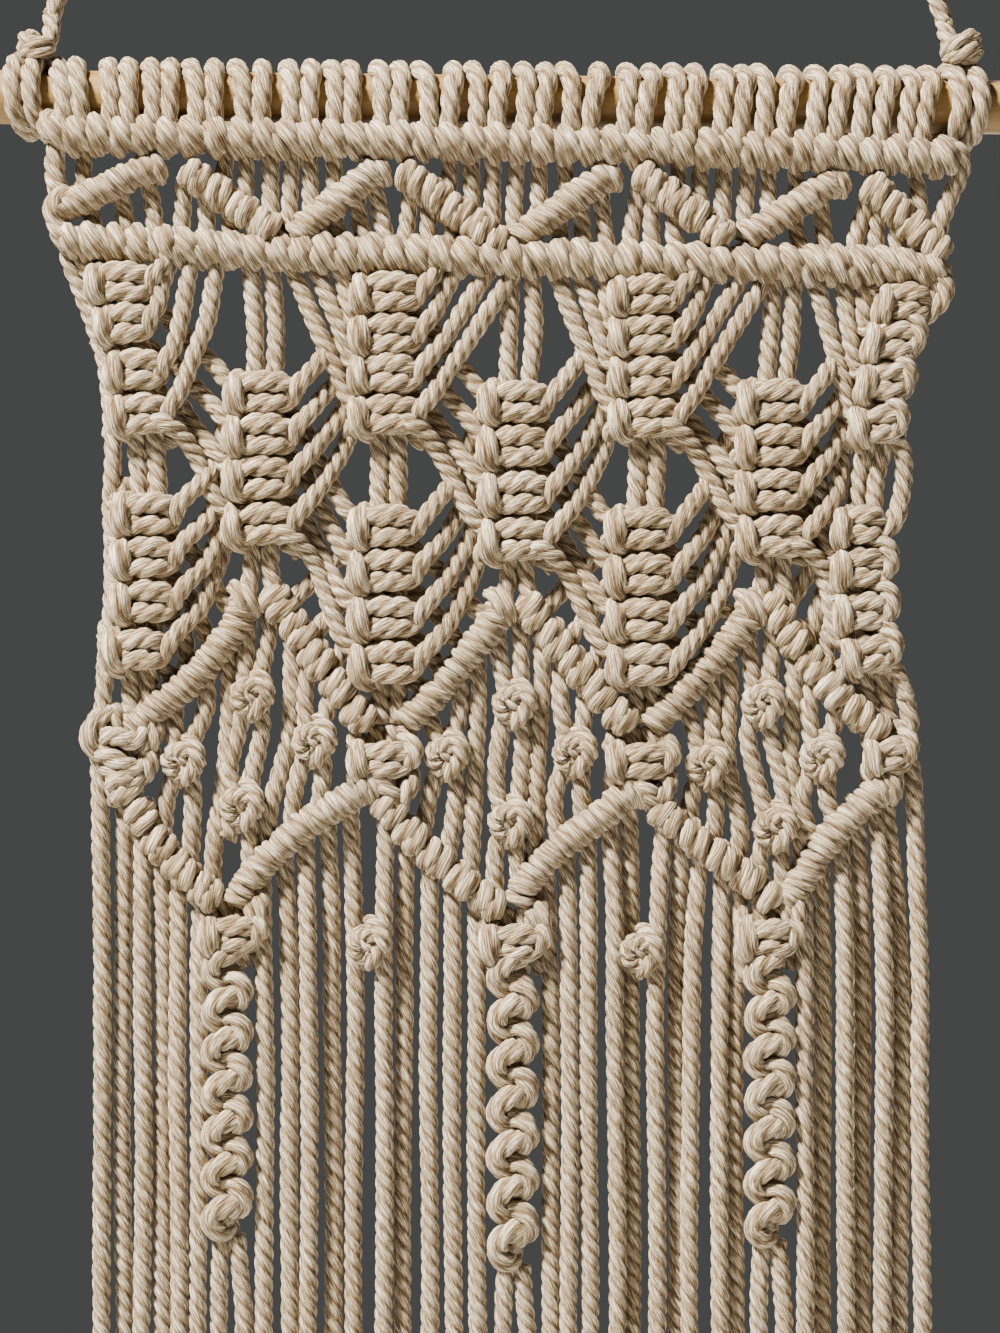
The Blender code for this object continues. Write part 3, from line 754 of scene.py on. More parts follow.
# ---------------------------------------------------------------- 4 zigzag band
BARS = (
    # left end x, y; right end x, y; turns; half height; lean; alike
    (56, 214, 152, 168, 10, 15.5, 3.0, True),
    (185, 171, 277, 236, 9, 16.0, 6.0, False),
    (295, 238, 376, 171, 10, 15.5, 3.0, True),
    (402, 172, 500, 246, 10, 16.0, 6.0, False),
    (519, 240, 606, 176, 10, 15.5, 3.0, True),
    (638, 173, 727, 242, 9, 16.0, 6.0, False),
    (747, 238, 833, 182, 10, 15.5, 3.0, True),
    (866, 184, 943, 258, 8, 16.0, 6.0, False),
)
zig = Mesh("zigzag_bars")
SLOW = 0.030
for x0, y0, x1, y1, n, half, lean, alike in BARS:
    if alike:
        hitches(zig, [(x0, y0), (x1, y1)], half + 1.3, 11.2, w=8.0, lean=lean, big=8.2, depth=18.0, pitch=0.024, jitter=1.2)
        for q in (-4, 5):
            zig.rope([(x1 + q - 5, y1 - 9, 1), (x1 + q - 2, y1 - 7, 11), (x1 + q + 3, y1 + 1, 17), (x1 + q + 5, y1 + 8, 11),
                      (x1 + q + 4, y1 + 11, 1)], r=7.8 * S, pitch=SLOW)
    else:
        hitches(zig, [(x0, y0), (x1, y1)], half + 2.5, 13.8, w=9.0, lean=1.5, big=11.2, depth=23.0, pitch=0.018,
                jitter=1.3, pair=0.12)

BAND_UPPER = (
    # x at the first row, x at the bar, y at the bar
    (84, 84, 202), (56, 56, 200),
    (226, 222, 205), (246, 246, 220), (271, 272, 236),
    (293, 288, 240), (309, 312, 225), (334, 332, 208),
    (450, 446, 208), (471, 474, 228), (493, 492, 240),
    (517, 514, 244), (540, 540, 226), (564, 566, 206),
    (679, 680, 208), (700, 704, 228), (724, 722, 240),
    (748, 744, 240), (768, 770, 224), (795, 796, 206),
    (915, 922, 240),
)
BAND_LOWER = (
    # x at the bar, x at the second row, y at the bar
    (88, 94, 200), (120, 126, 186), (148, 156, 178),
    (184, 180, 178), (206, 208, 194), (230, 232, 212),
    (334, 340, 212), (356, 366, 192), (374, 388, 182),
    (412, 404, 184), (430, 428, 200), (452, 452, 216),
    (558, 564, 212), (580, 585, 194), (600, 608, 184),
    (640, 628, 184), (652, 653, 192), (674, 676, 208),
    (792, 804, 212), (820, 826, 194),
    (868, 851, 200), (878, 874, 206), (896, 896, 222),
)
for xa, xb, yb in BAND_UPPER:
    y0 = row1_y(xa) + 10
    zig.rope([(xa, y0, 2), (xa * 0.6 + xb * 0.4 + RNG.u(-1.5, 1.5), (y0 + yb) / 2, 0), (xb, yb, 3)], r=9.2 * S)
for xa, xb, ya in BAND_LOWER:
    y1 = row2_y(xb) - 8
    zig.rope([(xa, ya, 2), (xa * 0.5 + xb * 0.5 + RNG.u(-1.5, 1.5), (ya + y1) / 2, -2), (xb, y1, 0)], r=9.2 * S)

# left edge: strand down, turning into the bar and on into the second row
zig.rope([(62, 140, 4), (57, 152, 8), (56, 170, 8), (59, 188, 8), (70, 202, 8)], r=10.4 * S)
zig.rope([(76, 196, 0), (66, 197, 12), (57, 206, 17), (57, 220, 15), (66, 232, 8), (76, 240, 0)], r=11.0 * S, pitch=0.014)
zig.rope([(60, 206, 2), (58, 222, 12), (62, 236, 14), (72, 246, 10), (82, 250, 2)], r=10.4 * S, pitch=0.014)


# ---------------------------------------------------------------- 5 columns of square knots
A0 = [(124, 286), (127, 326), (139, 373), (143, 416)]
A1 = [(390, 296), (389, 337), (388, 376), (388, 417)]
A2 = [(646, 298), (646, 338), (646, 379), (647, 420)]
A3 = [(907, 307), (896, 345), (888, 386), (881, 429)]
B1 = [(265, 396), (264, 437), (263, 480), (263, 526)]
B2 = [(517, 405), (517, 449), (518, 495), (518, 541)]
B3 = [(774, 404), (773, 448), (772, 492), (774, 538)]
C0 = [(149, 516), (149, 559), (149, 603), (140, 651)]
C1 = [(388, 529), (388, 573), (388, 619), (389, 664)]
C2 = [(643, 531), (643, 576), (643, 621), (644, 666)]
C3 = [(864, 529), (864, 571), (866, 614), (874, 657)]


def to_right_side(k_from, k, j=0):
    """From the left of one column's knot, behind its neighbours, to the right of the next
    column's knot; the lower ones come forward sooner."""
    w_a, w_b, w_c = ((-12, -10, 3), (-12, -9, 5), (-9, 0, 8), (-4, 4, 9))[j]
    a = (k_from[0] - 40, k_from[1] + 19, -9)
    b = (k[0] + 60, k[1] - 41, w_c)
    pts = [a]
    for f, w in ((0.3, w_a), (0.62, w_b)):
        pts.append((a[0] + (b[0] - a[0]) * f + 2, a[1] + (b[1] - a[1]) * f, w))
    return pts + [b]


def to_left_side(k_from, k, lift=0.0):
    if lift:  # the lowest strand lies over the others
        return [
            (k_from[0] + 8, k_from[1] + 3, 12), (k_from[0] + 22, k_from[1] + 7, 19), (k_from[0] + 36, k_from[1] + 16, 13),
            (k_from[0] + 52, k_from[1] + 38, 4),
            (k_from[0] * 0.42 + k[0] * 0.58 - 6, k_from[1] * 0.42 + k[1] * 0.58, 2), (k[0] - 47, k[1] - 26, 4),
        ]
    a = (k_from[0] + 36, k_from[1] + 24, -12)
    b = (k[0] - 47, k[1] - 27, 2)
    pts = [a]
    for f, w in ((0.3, -10), (0.62, -5)):
        pts.append((a[0] + (b[0] - a[0]) * f - 2, a[1] + (b[1] - a[1]) * f, w + lift))
    return pts + [b]


def column(mesh, knots, lefts, rights, halves=36.0, tall=41.0):
    for j, (x, y) in enumerate(knots):
        half = halves[j] if isinstance(halves, tuple) else halves
        k = half / 36.0
        lead_p = (x - 37 * k, y - 14, 3)
        lead_q = (x + 45 * k, y - 21, 15)
        square_knot(
            mesh, x, y,
            list(lefts[j]) + [lead_p],
            list(rights[j]) + [lead_q],
            [(x - 34 * k, y + 9, 1), (x - 40 * k, y + 18, -9)],
            [(x + 28 * k, y + 20, -8), (x + 36 * k, y + 27, -12)],
            half=half, tall=tall,
        )


def direct_left(k):
    y0 = row2_y(k[0] - 38) + 8
    return [(k[0] - 39, y0, 2), (k[0] - 39, (y0 + k[1] - 20) / 2, 0)]


def direct_right(k):
    y0 = row2_y(k[0] + 40) + 8
    return [(k[0] + 44, y0, 4), (k[0] + 43, (y0 + k[1] - 20) / 2, 9)]


def from_row(points, w0=2.0, w1=8.0):
    (x0, y0) = points[0]
    x1, y1 = points[1]
    top = row2_y(x0) + 8
    x_top = x0 - (x1 - x0) / (y1 - y0) * (y0 - top)
    pts = [(x_top, top)] + list(points)
    n = len(pts) - 1
    return [(x, y, w0 + (w1 - w0) * i / n) for i, (x, y) in enumerate(pts)]


tier_a = Mesh("leaf_tier_a")
LEFT_1 = [[(343, 284), (348, 304)], [(322, 284), (341, 330)], [(298, 282), (332, 362)]]
RIGHT_1 = [[(449, 284), (440, 303)], [(478, 288), (446, 338)], [(503, 290), (446, 376)]]
column(
    tier_a, A1,
    [direct_left(A1[0])] + [from_row(p, 1, 4) for p in LEFT_1],
    [direct_right(A1[0])] + [from_row(p, 2, 12) for p in RIGHT_1],
)
LEFT_2 = [[(605, 284), (607, 304)], [(583, 284), (599, 332)], [(561, 287), (590, 362)]]
RIGHT_2 = [[(704, 284), (697, 302)], [(733, 291), (702, 340)], [(758, 291), (704, 378)]]
column(
    tier_a, A2,
    [direct_left(A2[0])] + [from_row(p, 1, 4) for p in LEFT_2],
    [direct_right(A2[0])] + [from_row(p, 2, 12) for p in RIGHT_2],
)
# left edge: the first strand runs down the outside, and each knot hangs inside it
A0_RIGHT = [
    [(166, 250), (164, 258)],
    [(170, 266), (163, 288)],
    [(190, 272), (182, 322)],
    [(215, 278), (208, 322), (193, 362)],
]
A0_LEFT = [
    [(82, 256, 0), (84, 264, 2)],
    [(A0[0][0] - 24, A0[0][1] + 10, -6), (A0[1][0] - 32, A0[1][1] - 26, -4)],
    [(A0[1][0] - 24, A0[1][1] + 10, -6), (A0[2][0] - 32, A0[2][1] - 26, -4)],
    [(A0[2][0] - 24, A0[2][1] + 10, -6), (A0[3][0] - 32, A0[3][1] - 26, -4)],
]
column(tier_a, A0, A0_LEFT, [from_row(p, 3, 13) for p in A0_RIGHT], halves=(34.0, 27.0, 28.0, 30.0), tall=43.0)
tier_a.rope(
    [(66, 240, 0), (70, 262, -1), (79, 286, -2), (92, 320, -3), (103, 355, -3), (109, 395, -3), (112, 430, -2),
     (113, 465, 0), (111, 500, -1), (112, 560, -3), (111, 610, -3), (106, 645, -2), (107, 676, 0)],
    r=9.2 * S,
)
# right edge: loops stand out on the right of each knot
A3_LEFT = [
    direct_left(A3[0]),
    from_row([(862, 286), (863, 308)], 1, 3),
    from_row([(843, 288), (851, 344)], 1, 3),
    from_row([(820, 300), (841, 378)], 1, 3),
]


def edge_knot(mesh, x, y, p_in, q_in, p_out, r=9.8, lean=4.0):
    """As square_knot, with Q turning back on the right edge."""
    k = 30.0 / 36.0
    j = [RNG.u(-1.0, 1.0) for _ in range(4)]
    mesh.rope(
        list(p_in) + [
            (x - 24 * k, y - 11, 10), (x - 8, y - 12 + j[0], 17), (x + 7, y - 12, 16), (x + 16, y - 6, 8),
            (x + 17, y + 1, 0), (x + 12, y + 6, 11), (x + 2, y + 6 + j[1], 17), (x - 8, y + 6, 17),
            (x - 22 * k, y + 6, 11),
        ] + list(p_out), r=r * S,
        swell=[1.0] * len(p_in) + [1.02, 1.13, 1.13, 1.05, 1.0, 1.06, 1.13, 1.13, 1.02] + [1.0] * len(p_out),
    )
    mesh.rope(
        list(q_in) + [
            (x + 8, y + 9, -4), (x - 2, y + 3, -16), (x - 14, y - 6, -13),
            (x - 20, y - 16, 2), (x - 23 + lean * 0.5 + j[2] * 0.5, y - 12, 14), (x - 25, y, 22),
            (x - 26 - lean * 0.5, y + 11, 18), (x - 20 - lean * 0.3, y + 18, 4), (x - 4, y + 16, -16), (x + 8, y + 12, -14),
        ], r=r * S,
        swell=[1.0] * len(q_in) + [0.95, 0.92, 0.92, 0.98, 1.12, 1.22, 1.14, 0.98, 0.92, 0.92],
        slow=[1.0] * len(q_in) + [1.0, 1.0, 1.2, 1.6, 2.2, 2.6, 2.2, 1.6, 1.2, 1.0],
    )


def edge_loop(x, y, out=30):
    return [
        (x - 6, y - 31, -6), (x + 1, y - 32, 9), (x + out - 8, y - 28, 17), (x + out - 1, y - 17, 18),
        (x + out - 1, y - 5, 17), (x + out - 8, y + 5, 13), (x + 10, y + 9, 5),
    ]


for j, (x, y) in enumerate(A3):
    p_in = A3_LEFT[j] + [(x - 37 * 0.85, y - 14, 3)]
    if j == 0:
        q_in = [(924, 266, 6), (936, 271, 12), (943, 283, 14), (942, 298, 13), (932, 311, 9), (920, 319, 3)]
    else:
        q_in = edge_loop(x, y, out=(0, 21, 19, 18)[j])
    edge_knot(tier_a, x, y, p_in, q_in, [(x - 30, y + 9, 1), (x - 36, y + 18, -9)], lean=(5, 5, 4, -5)[j])
tier_a.rope([(934, 262, 0), (941, 272, 4), (942, 284, 2), (936, 298, 0), (926, 308, -2), (916, 312, -4)], r=10.6 * S)
tier_a.rope([(922, 280, 2), (931, 288, 8), (930, 299, 8), (920, 307, 4)], r=9.6 * S)
tier_a.rope([(866, 438, -8), (880, 436, 6), (893, 438, 10), (901, 452, 8), (903, 478, 5), (899, 504, 4), (894, 518, 5)], r=9.6 * S)

tier_b = Mesh("leaf_tier_b")
for knots, west, east in ((B1, A0, A1), (B2, A1, A2), (B3, A2, A3)):
    column(
        tier_b, knots,
        [to_left_side(west[j], knots[j], lift=5.0 if j == 3 else 0.0) for j in range(4)],
        [to_right_side(east[j], knots[j], j) for j in range(4)],
        tall=45.0,
    )

tier_c = Mesh("leaf_tier_c")
for knots, west, east in ((C1, B1, B2), (C2, B2, B3)):
    column(
        tier_c, knots,
        [to_left_side(west[j], knots[j], lift=5.0 if j == 3 else 0.0) for j in range(4)],
        [to_right_side(east[j], knots[j], j) for j in range(4)],
        tall=45.0,
    )
C0_LEFT = [[(128, 480, -6), (122, 492, -4)]] + [
    [(C0[j][0] - 24, C0[j][1] + 12, -6), (C0[j + 1][0] - 32, C0[j + 1][1] - 26, -4)] for j in range(3)
]
column(tier_c, C0, C0_LEFT, [to_right_side(B1[j], C0[j], j) for j in range(4)], halves=33.0, tall=44.0)
for j, (x, y) in enumerate(C3):
    p_in = to_left_side(B3[j], (x + 8, y), lift=5.0 if j == 3 else 0.0) + [(x - 32, y - 14, 3)]
    if j == 0:
        q_in = [(899, 506, 4), (895, 518, 8), (888, 528, 11), (879, 536, 8)]
    else:
        q_in = edge_loop(x, y, out=(0, 25, 24, 19)[j])
    edge_knot(tier_c, x, y, p_in, q_in, [(x - 30, y + 9, 1), (x - 36, y + 18, -9)], lean=(0, 0, -2, -5)[j])
tier_c.rope([(856, 664, -10), (872, 668, 4), (885, 664, 10), (895, 670, 8), (901, 684, 5), (905, 698, 5)], r=9.4 * S)

# the strands each column is knotted round
carriers = Mesh("carrier_strands")


def through(points, knots_list, side):
    """points before, between and after the columns; side: -9.5 or 9.5."""
    out = list(points[0])
    for knots, after in zip(knots_list, points[1:]):
        out += [(x + side, y, 4) for x, y in knots] + list(after)
    return out


def bottom(knots, dx):
    return (knots[3][0] + dx, knots[3][1] + 26, 0)


for side, s_ in (("left", -9.5), ("right", 9.5)):
    left = side == "left"
    carriers.rope(through(
        ([(112 + s_, 258, 0)], [(139 if left else 157, 468, 0)], [bottom(C0, s_), (132 if left else 146, 712, 0)]),
        (A0, C0), s_), r=10.3 * S)
    carriers.rope(through(
        ([(390 + s_, 268, 0)], [(380 if left else 398, 472, 0)], [bottom(C1, s_), (382 if left else 397, 722, 0)]),
        (A1, C1), s_), r=10.3 * S)
    carriers.rope(through(
        ([(646 + s_, 270, 0)], [(638 if left else 656, 474, 0)], [bottom(C2, s_), (638 if left else 655, 722, 0)]),
        (A2, C2), s_), r=10.3 * S)
    carriers.rope(through(
        ([(906 + s_, 276, 0)], [(859 if left else 875, 478, 0)], [bottom(C3, s_), (871 if left else 886, 704, -2), (882 if left else 894, 736, -6)]),
        (A3, C3), s_), r=10.2 * S)
    carriers.rope(through(
        ([(250 if left else 271, 264, 0), (255 if left else 276, 322, 0)],
         [(252 if left else 270, 566, 2), (248 if left else 277, 598, 6)]), (B1,), s_))
    carriers.rope(through(
        ([(511 if left else 532, 274, 0), (509 if left else 534, 330, 0)],
         [(508 if left else 526, 582, 2), (500 if left else 532, 610, 6)]), (B2,), s_))
    carriers.rope(through(
        ([(774 if left else 793, 276, 0), (770 if left else 791, 336, 0)],
         [(763 if left else 782, 580, 2), (756 if left else 786, 606, 6)]), (B3,), s_))

# ---------------------------------------------------------------- 6 diamonds
dia = Mesh("diamond_bars")
DOWN = dict(gap=16.6, big=12.0, depth=26.0, pitch=0.018, lean=2.0, jitter=1.3, pair=0.12)
UPWARD = dict(gap=9.8, big=7.2, depth=20.0, pitch=0.030, lean=1.5, jitter=1.3)  # bars rising to the right
UPPER = (
    ((134, 729), (164, 702), (190, 681), (212, 658), (233, 632), (243, 612), (245, 600)),
    ((268, 589), (283, 612), (299, 633), (316, 657), (331, 678), (349, 702), (370, 728)),
    ((406, 722), (429, 700), (451, 674), (473, 648), (494, 623), (501, 607)),
    ((522, 598), (542, 625), (559, 646), (577, 667), (594, 687), (612, 707), (632, 729)),
    ((651, 727), (677, 699), (699, 674), (720, 652), (742, 627), (751, 608)),
    ((766, 598), (785, 627), (802, 651), (820, 674), (837, 695), (857, 713), (880, 734)),
)
for line in UPPER + V_BARS:
    (x1, y1) = line[-1]
    if y1 > line[0][1]:
        hitches(dia, line, 19.0, w=3.0, **DOWN)
    else:
        hitches(dia, line, 16.8, w=3.0, **UPWARD)
        # the bar's upper end: a larger turn
        for q in (-5, 4):
            dia.rope([(x1 + q - 6, y1 - 13, 1), (x1 + q - 2, y1 - 10, 12), (x1 + q + 3, y1, 19), (x1 + q + 5, y1 + 9, 12),
                      (x1 + q + 4, y1 + 13, 1)], r=8.2 * S, pitch=0.04)


def along_bar(bar, share):
    pos = polyline_at(bar, share)[0]
    return float(pos[0]), float(pos[1])


# from the columns' outer sides to the upper bars
RIGHT_TO = ((C0, UPPER[0]), (C1, UPPER[2]), (C2, UPPER[4]))
LEFT_TO = ((C1, UPPER[1]), (C2, UPPER[3]), (C3, UPPER[5]))
feed = Mesh("bar_feeds")
for knots, bar in RIGHT_TO:
    for j, share in enumerate((0.86, 0.62, 0.40, 0.18)):
        x, y = along_bar(bar, share)
        k = knots[j]
        feed.rope([(k[0] + 34, k[1] + 24, -11), ((k[0] + 36 + x) / 2, (k[1] + 26 + y) / 2, -9), (x, y, -4)])
for knots, bar in LEFT_TO:
    for j, share in enumerate((0.14, 0.38, 0.60, 0.82)):
        x, y = along_bar(bar, share)
        k = knots[j]
        feed.rope([(k[0] - 39, k[1] + 18, -9), ((k[0] - 40 + x) / 2, (k[1] + 20 + y) / 2, -9), (x, y, -4)])


def rosette(mesh, x, y, turn=0.0, size=1.0, ins=(), outs=()):
    """A small tight knot of two strands: petals round a dimple."""
    mesh.rope([(x - 10, y - 8, -6), (x + 8, y - 8, -8), (x + 10, y + 8, -8), (x - 8, y + 10, -6), (x - 12, y - 2, -5)], r=9.4 * S)
    # a curl round the dimple, its plies lying across it like pleats
    curl = []
    for i in range(17):
        a = math.radians(-28 - 300 * i / 16) + turn
        rr = (10.9 + 0.7 * math.sin(i * 1.1)) * size
        curl.append((x - 1.5 + rr * math.cos(a), y + 1 + 1.05 * rr * math.sin(a), (3, 8, 11)[i] if i < 3 else 12 - 0.2 * i))
    mesh.rope(curl, r=R, pitch=0.0060, swell=[0.8] + [1.06] * 15 + [0.85])
    mesh.rope([(x - 5, y - 6, 4), (x - 1.5, y, 12.5), (x + 2.5, y + 6, 4)], r=8.0 * S)
    # a turn over it on the right and a short one below
    mesh.rope([(x + 1, y - 22, -2), (x + 8, y - 18, 9), (x + 15, y - 9, 16), (x + 16, y + 2, 14), (x + 12, y + 10, 4)],
              r=R, pitch=0.0078, swell=[0.8, 0.95, 1.0, 0.95, 0.8])
    mesh.rope([(x + 9, y + 2, 6), (x + 10, y + 9, 15), (x + 5, y + 17, 14), (x - 2, y + 22, 3)],
              r=R, pitch=0.0082, swell=[0.7, 0.88, 0.88, 0.75])
    for pts in ins:
        mesh.rope(list(pts) + [(x + (-7 if pts[-1][0] < x else 7), y - 13, 2), (x + (-3 if pts[-1][0] < x else 4), y - 2, 0)])
    for pts in outs:
        mesh.rope([(x + (-4 if pts[0][0] < x else 4), y + 2, 0), (x + (-9 if pts[0][0] < x else 8), y + 15, 0)] + list(pts))


def bar_y(x):
    for line in UPPER:
        if line[0][0] <= x <= line[-1][0]:
            return line_y(line, x)
    return 612.0


inner = Mesh("diamond_strands")
# per diamond: knots top, left, right, bottom, then where strands leave the upper bars and
# reach the lower ones
DIAMONDS = (
    dict(top=(252, 695), left=(183, 760), right=(314, 741), low=(242, 805),
         bars=((248, 642), (228, 662), (205, 682), (174, 706), (272, 618), (291, 640), (311, 664), (331, 690)),
         feet=((163, 830), (190, 860), (212, 884), (230, 903), (250, 896), (268, 878), (290, 858), (318, 834))),
    dict(top=(513, 704), left=(446, 755), right=(573, 752), low=(509, 821),
         bars=((496, 640), (477, 650), (459, 672), (426, 702), (520, 634), (541, 642), (563, 668), (585, 694)),
         feet=((422, 842), (447, 864), (470, 884), (496, 905), (520, 903), (534, 890), (557, 868), (584, 842))),
    dict(top=(761, 703), left=(706, 764), right=(819, 757), low=(773, 827),
         bars=((748, 640), (729, 655), (711, 676), (685, 706), (772, 634), (793, 642), (815, 664), (838, 694)),
         feet=((693, 838), (712, 856), (738, 876), (764, 900), (786, 898), (800, 884), (816, 868), (838, 846))),
)
for d in DIAMONDS:
    L1, L2, L3, L4, R1, R2, R3, R4 = [(px, bar_y(px) + 7) for px, _ in d["bars"]]
    f = [(px, min(v_bar_y(px) - 5, py)) for px, py in d["feet"]]
    (tx, ty), (lx, ly), (rx, ry), (bx, by) = d["top"], d["left"], d["right"], d["low"]
    rosette(inner, tx, ty, turn=0.3,
            ins=([(L1[0], L1[1], -4), ((L1[0] * 0.6 + (tx - 9) * 0.4), (L1[1] + ty - 16) / 2, 0)],
                 [(R1[0], R1[1], -4), ((R1[0] * 0.6 + (tx + 9) * 0.4), (R1[1] + ty - 16) / 2, 0)]),
            outs=([(tx - 13, ty + 34, 0), (bx - 13, by - 34, 0), (bx - 8, by - 14, 2)],
                  [(tx + 10, ty + 34, 0), (bx + 11, by - 34, 0), (bx + 8, by - 14, 2)]))
    rosette(inner, lx, ly, turn=0.1,
            ins=([(L4[0], L4[1], -4), ((L4[0] + lx - 8) / 2, (L4[1] + ly - 16) / 2, 0)],
                 [(L3[0], L3[1], -4), (L3[0] + 1, (L3[1] + ly - 16) / 2, 0)]),
            outs=([((lx - 16), ly + 40, 0), (f[0][0], f[0][1], -4)],
                  [((lx + 10), ly + 40, 0), (f[1][0], f[1][1], -4)]))
    rosette(inner, rx, ry, turn=0.5,
            ins=([(R3[0], R3[1], -4), ((R3[0] + rx - 12) / 2 - 2, (R3[1] + ry - 16) / 2, 0)],
                 [(R4[0], R4[1], -4), ((R4[0] + rx + 12) / 2, (R4[1] + ry - 16) / 2, 0)]),
            outs=([((rx - 18), ry + 42, 0), (f[6][0], f[6][1], -4)],
                  [((rx + 8), ry + 42, 0), (f[7][0], f[7][1], -4)]))
    rosette(inner, bx, by, turn=0.2,
            outs=([(bx - 14, by + 34, 0), (f[3][0], f[3][1], -4)],
                  [(bx + 8, by + 34, 0), (f[4][0], f[4][1], -4)]))
    inner.rope([(L2[0], L2[1], -6), (L2[0] + 1, L2[1] + 40, -3), (L2[0] - 2, (L2[1] + f[2][1]) / 2, -2),
                (f[2][0] + 2, f[2][1] - 40, -2), (f[2][0], f[2][1], -5)])
    inner.rope([(R2[0], R2[1], -6), (R2[0] + 1, R2[1] + 40, -3), (R2[0] - 3, (R2[1] + f[5][1]) / 2, -2),
                (f[5][0] + 1, f[5][1] - 40, -2), (f[5][0], f[5][1], -5)])

# crossings of the bars: square knots
cross = Mesh("crossing_knots")


def small_square(mesh, x, y, half, r=9.6, w=0.0, tall=42.0):
    square_knot(
        mesh, x, y,
        [(x - half * 0.75, y - 28, -3), (x - half * 0.95, y - 17, 2)],
        [(x + half * 0.55, y - 29, 0), (x + half * 0.82, y - 20, 10)],
        [(x - half * 0.9, y + 13, 0), (x - half * 0.85, y + 28, -4), (x - half * 0.8, y + 42, -5)],
        [(x + half * 0.8, y + 20, -6), (x + half * 0.9, y + 30, -8)],
        half=half, r=r, w=w, tall=tall,
    )


for x, y, half in ((384, 761, 32), (641, 762, 32), (888, 756, 21), (234, 935, 29), (514, 943, 31), (768, 938, 29)):
    small_square(cross, x, y, half, tall=38.0)
    for s_ in (-8, 8):
        cross.rope([(x + s_, y - 34, 0), (x + s_, y, 4), (x + s_ * 0.9, y + 30, 0)])
# under the two middle ones the next turns show
for x, y in ((384, 761), (641, 762)):
    cross.rope([(x - 16, y + 18, 2), (x - 4, y + 22, 14), (x + 6, y + 29, 18), (x + 12, y + 38, 12), (x + 13, y + 45, 1)], r=10.2 * S)
    cross.rope([(x + 27, y + 12, 0), (x + 27, y + 22, 12), (x + 21, y + 34, 15), (x + 13, y + 42, 6)], r=9.8 * S)
# where two bars run down into a lower knot a pair of upright turns shows on the right
for x, y in ((234, 935), (514, 943), (768, 938)):
    cross.rope([(x + 21, y - 42, 0), (x + 27, y - 34, 12), (x + 29, y - 22, 14), (x + 26, y - 10, 4)], r=9.4 * S, pitch=0.02)
    cross.rope([(x + 12, y - 36, 2), (x + 18, y - 28, 12), (x + 20, y - 18, 12), (x + 17, y - 10, 4)], r=9.0 * S, pitch=0.02)
# left edge: the edge strand turns round and three bars follow under one another
cross.rope([(108, 712, 0), (100, 718, 8), (93, 728, 14), (92, 740, 14), (97, 750, 8), (106, 756, 0)], r=10.6 * S, pitch=0.02)
cross.rope([(99, 746, 2), (107, 737, 13), (120, 736, 18), (133, 740, 18), (143, 736, 15), (150, 726, 8), (152, 716, 0)], r=10.6 * S)
cross.rope([(154, 718, 0), (157, 730, 10), (153, 742, 12), (145, 750, 6), (136, 752, 0)], r=10.0 * S)
cross.rope([(97, 746, 2), (106, 752, 14), (118, 759, 18), (130, 766, 17), (140, 767, 12), (149, 760, 6), (151, 748, 0)], r=10.6 * S)
cross.rope([(143, 744, 2), (150, 754, 10), (151, 767, 12), (143, 778, 4)], r=9.6 * S)
cross.rope([(106, 764, 0), (113, 772, 12), (124, 779, 18), (136, 779, 14), (146, 771, 6), (149, 762, 0)], r=10.4 * S)
for s_ in (-8, 8):
    cross.rope([(124 + s_, 706, 0), (124 + s_, 740, 4), (122 + s_, 779, 3), (124 + s_, 804, 0)])

# rosettes hanging on the fringe
fringe_knots = Mesh("fringe_knots")
for x, y in ((368, 943), (640, 951)):
    rosette(fringe_knots, x, y, turn=0.3)

# ---------------------------------------------------------------- 7 sennits
senn = []
for i, (cx, top, foot, n) in enumerate(SENNITS):
    me_ = Mesh("sennit_knots_%d" % (i + 1))
    pitch_y = (foot - top) / n
    left_pts, right_pts = [(cx - 8, top - 14, 0)], [(cx + 8, top - 20, 0)]
    me_.rope([(cx, top - 8, -7), (cx + 1.5, (top + foot) / 2, -8), (cx, foot + 4, -7)], r=9.6 * S)
    for k in range(n):
        y = top + k * pitch_y
        v = pitch_y / 43.0
        left_pts += [(cx + 7, y - 7 * v, 8), (cx - 3, y - 4 * v, 16), (cx - 14, y + 4 * v, 16),
                     (cx - 17, y + 15 * v, 12), (cx - 11, y + 25 * v, 8), (cx + 1, y + 28 * v, -3)]
        y2 = y + 0.46 * pitch_y
        right_pts += [(cx - 3, y2 - 2 * v, 5), (cx + 6, y2 - 1 * v, 13), (cx + 14, y2 + 7 * v, 14),
                      (cx + 15, y2 + 18 * v, 11), (cx + 9, y2 + 26 * v, 8), (cx - 2, y2 + 29 * v, -4)]
    me_.rope(left_pts, r=11.4 * S, pitch=0.0145)
    me_.rope(right_pts[:-5], r=10.6 * S, pitch=0.0145)
    senn.append(me_)

# ---------------------------------------------------------------- 8 hanger knots
turns = Mesh("hanger_hitches")


def round_dowel(mesh, knots, radius=34.5, r=10.3, drop=0.0):
    """A turn round the dowel; 0 degrees is the front, 90 the bottom. knots: (degrees, x)."""
    pts = []
    for a in np.linspace(-175.0, 185.0, 19):
        xx = float(np.interp(a, [k_[0] for k_ in knots], [k_[1] for k_ in knots]))
        s_, c_ = math.sin(math.radians(a)), math.cos(math.radians(a))
        pts.append((xx, dowel_y(xx) + (radius + (drop if s_ > 0 else 0)) * s_, DOWEL_W + radius * c_))
    mesh.rope(pts, r=r * S, pitch=0.0135)


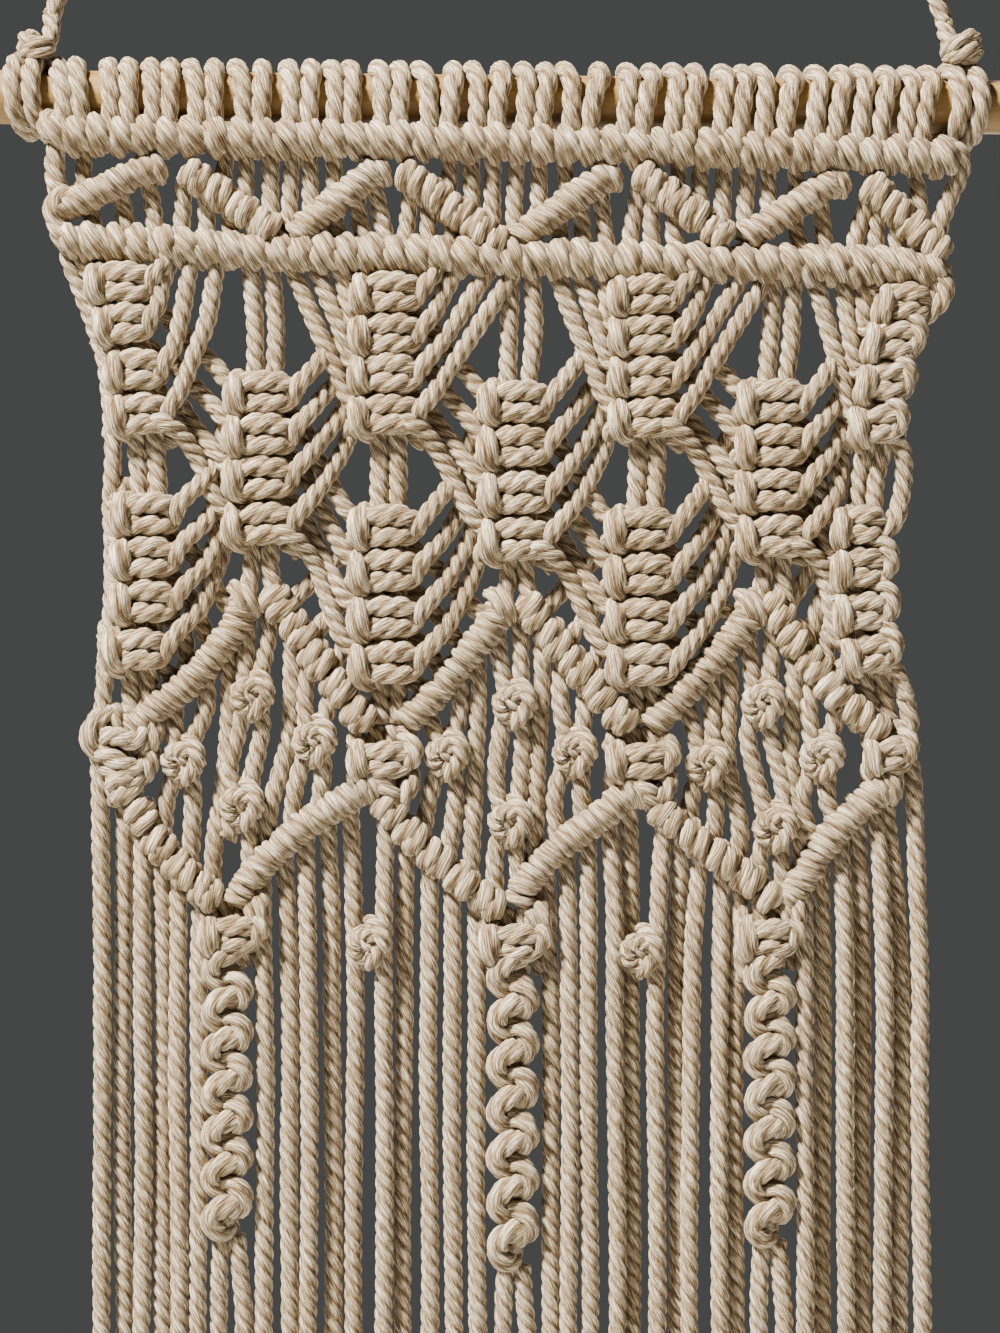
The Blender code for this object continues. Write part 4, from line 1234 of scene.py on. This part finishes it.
round_dowel(turns, [(-175, 19), (-90, 17), (-30, 14.5), (20, 16), (60, 22), (90, 28), (140, 26), (185, 20)])
round_dowel(turns, [(-175, 38), (-90, 36), (-30, 33), (20, 34.5), (60, 39), (90, 44), (140, 43), (185, 38)])
round_dowel(turns, [(-175, 950), (-90, 948), (-30, 957), (0, 959.5), (40, 956), (90, 945), (140, 946), (185, 950)], drop=2)
round_dowel(turns, [(-175, 972), (-90, 969), (-30, 977), (0, 979), (40, 976), (90, 966), (140, 968), (185, 972)], drop=2)
left_knot = Mesh("hanger_knot_l")
left_knot.rope([(49.3, 11.8, -15.6), (50, 26, -11), (49, 38, -3), (45, 50, -1)], r=9.4 * S)
left_knot.rope([(46, 47, -9), (49, 46, 1), (43.6, 45.6, 10), (35.4, 46.2, 13), (28, 47.4, 9), (25, 49.3, 0), (28.5, 50.5, -8),
                (37.8, 51.2, -9), (47, 51.2, -4), (48.8, 51.8, 4), (42.4, 53, 11), (34.3, 54, 12), (27.3, 55, 4)], r=8.0 * S, pitch=0.016)
left_knot.rope([(37, 52, 5), (30.5, 46, 11), (27, 40, 8), (31, 37.5, -1), (38, 41, -6)], r=8.2 * S, pitch=0.016)
right_knot = Mesh("hanger_knot_r")
right_knot.rope([(947.1, 19.5, -15.6), (948, 30, -11), (950, 42, -3), (954, 52, -1)], r=9.4 * S)
right_knot.rope([(949, 54, -7), (947, 51, 4), (954, 46, 12), (962, 42, 14), (971, 38, 7), (974, 40, -3), (968, 46, -9), (956, 52, -9),
                 (950, 58, -2), (955, 58, 9), (964, 54, 13), (973, 49, 9), (976, 54, 0)], r=8.0 * S, pitch=0.016)
right_knot.rope([(962, 58, 4), (970, 60, 6), (974, 54, 2), (970, 46, -4), (961, 43, -6)], r=8.0 * S, pitch=0.016)

# ---------------------------------------------------------------- pieces
loops.build(COTTON, ("heading",))
rows.build(COTTON, ("heading",))
zig.build(COTTON, ("zigzag_band",))
row2.build(COTTON, ("row_2",))
tier_a.build(COTTON, ("leaf_a1", "leaf_a2", "leaf_a3", "leaf_a4"))
tier_b.build(COTTON, ("leaf_b1", "leaf_b2", "leaf_b3"))
tier_c.build(COTTON, ("leaf_c1", "leaf_c2", "leaf_c3", "leaf_c4"))
carriers.build(
    COTTON,
    ("carrier_b1", "carrier_b2", "carrier_b3", "carrier_c1", "carrier_c2", "carrier_c3", "carrier_c4"),
)
dia.build(COTTON, ("diamond_1", "diamond_2", "diamond_3", "fringe"))
feed.build(COTTON, ("diamond_1", "diamond_2", "diamond_3"))
inner.build(COTTON, ("diamond_1", "diamond_2", "diamond_3"))
cross.build(COTTON, ("fringe",))
fringe_knots.build(COTTON, ("fringe",))
for i, me_ in enumerate(senn):
    me_.build(COTTON, ("sennit_%d" % (i + 1),))
turns.build(COTTON, ("hanger_knot_left", "hanger_knot_right"))
left_knot.build(COTTON, ("hanger_knot_left",))
right_knot.build(COTTON, ("hanger_knot_right",))
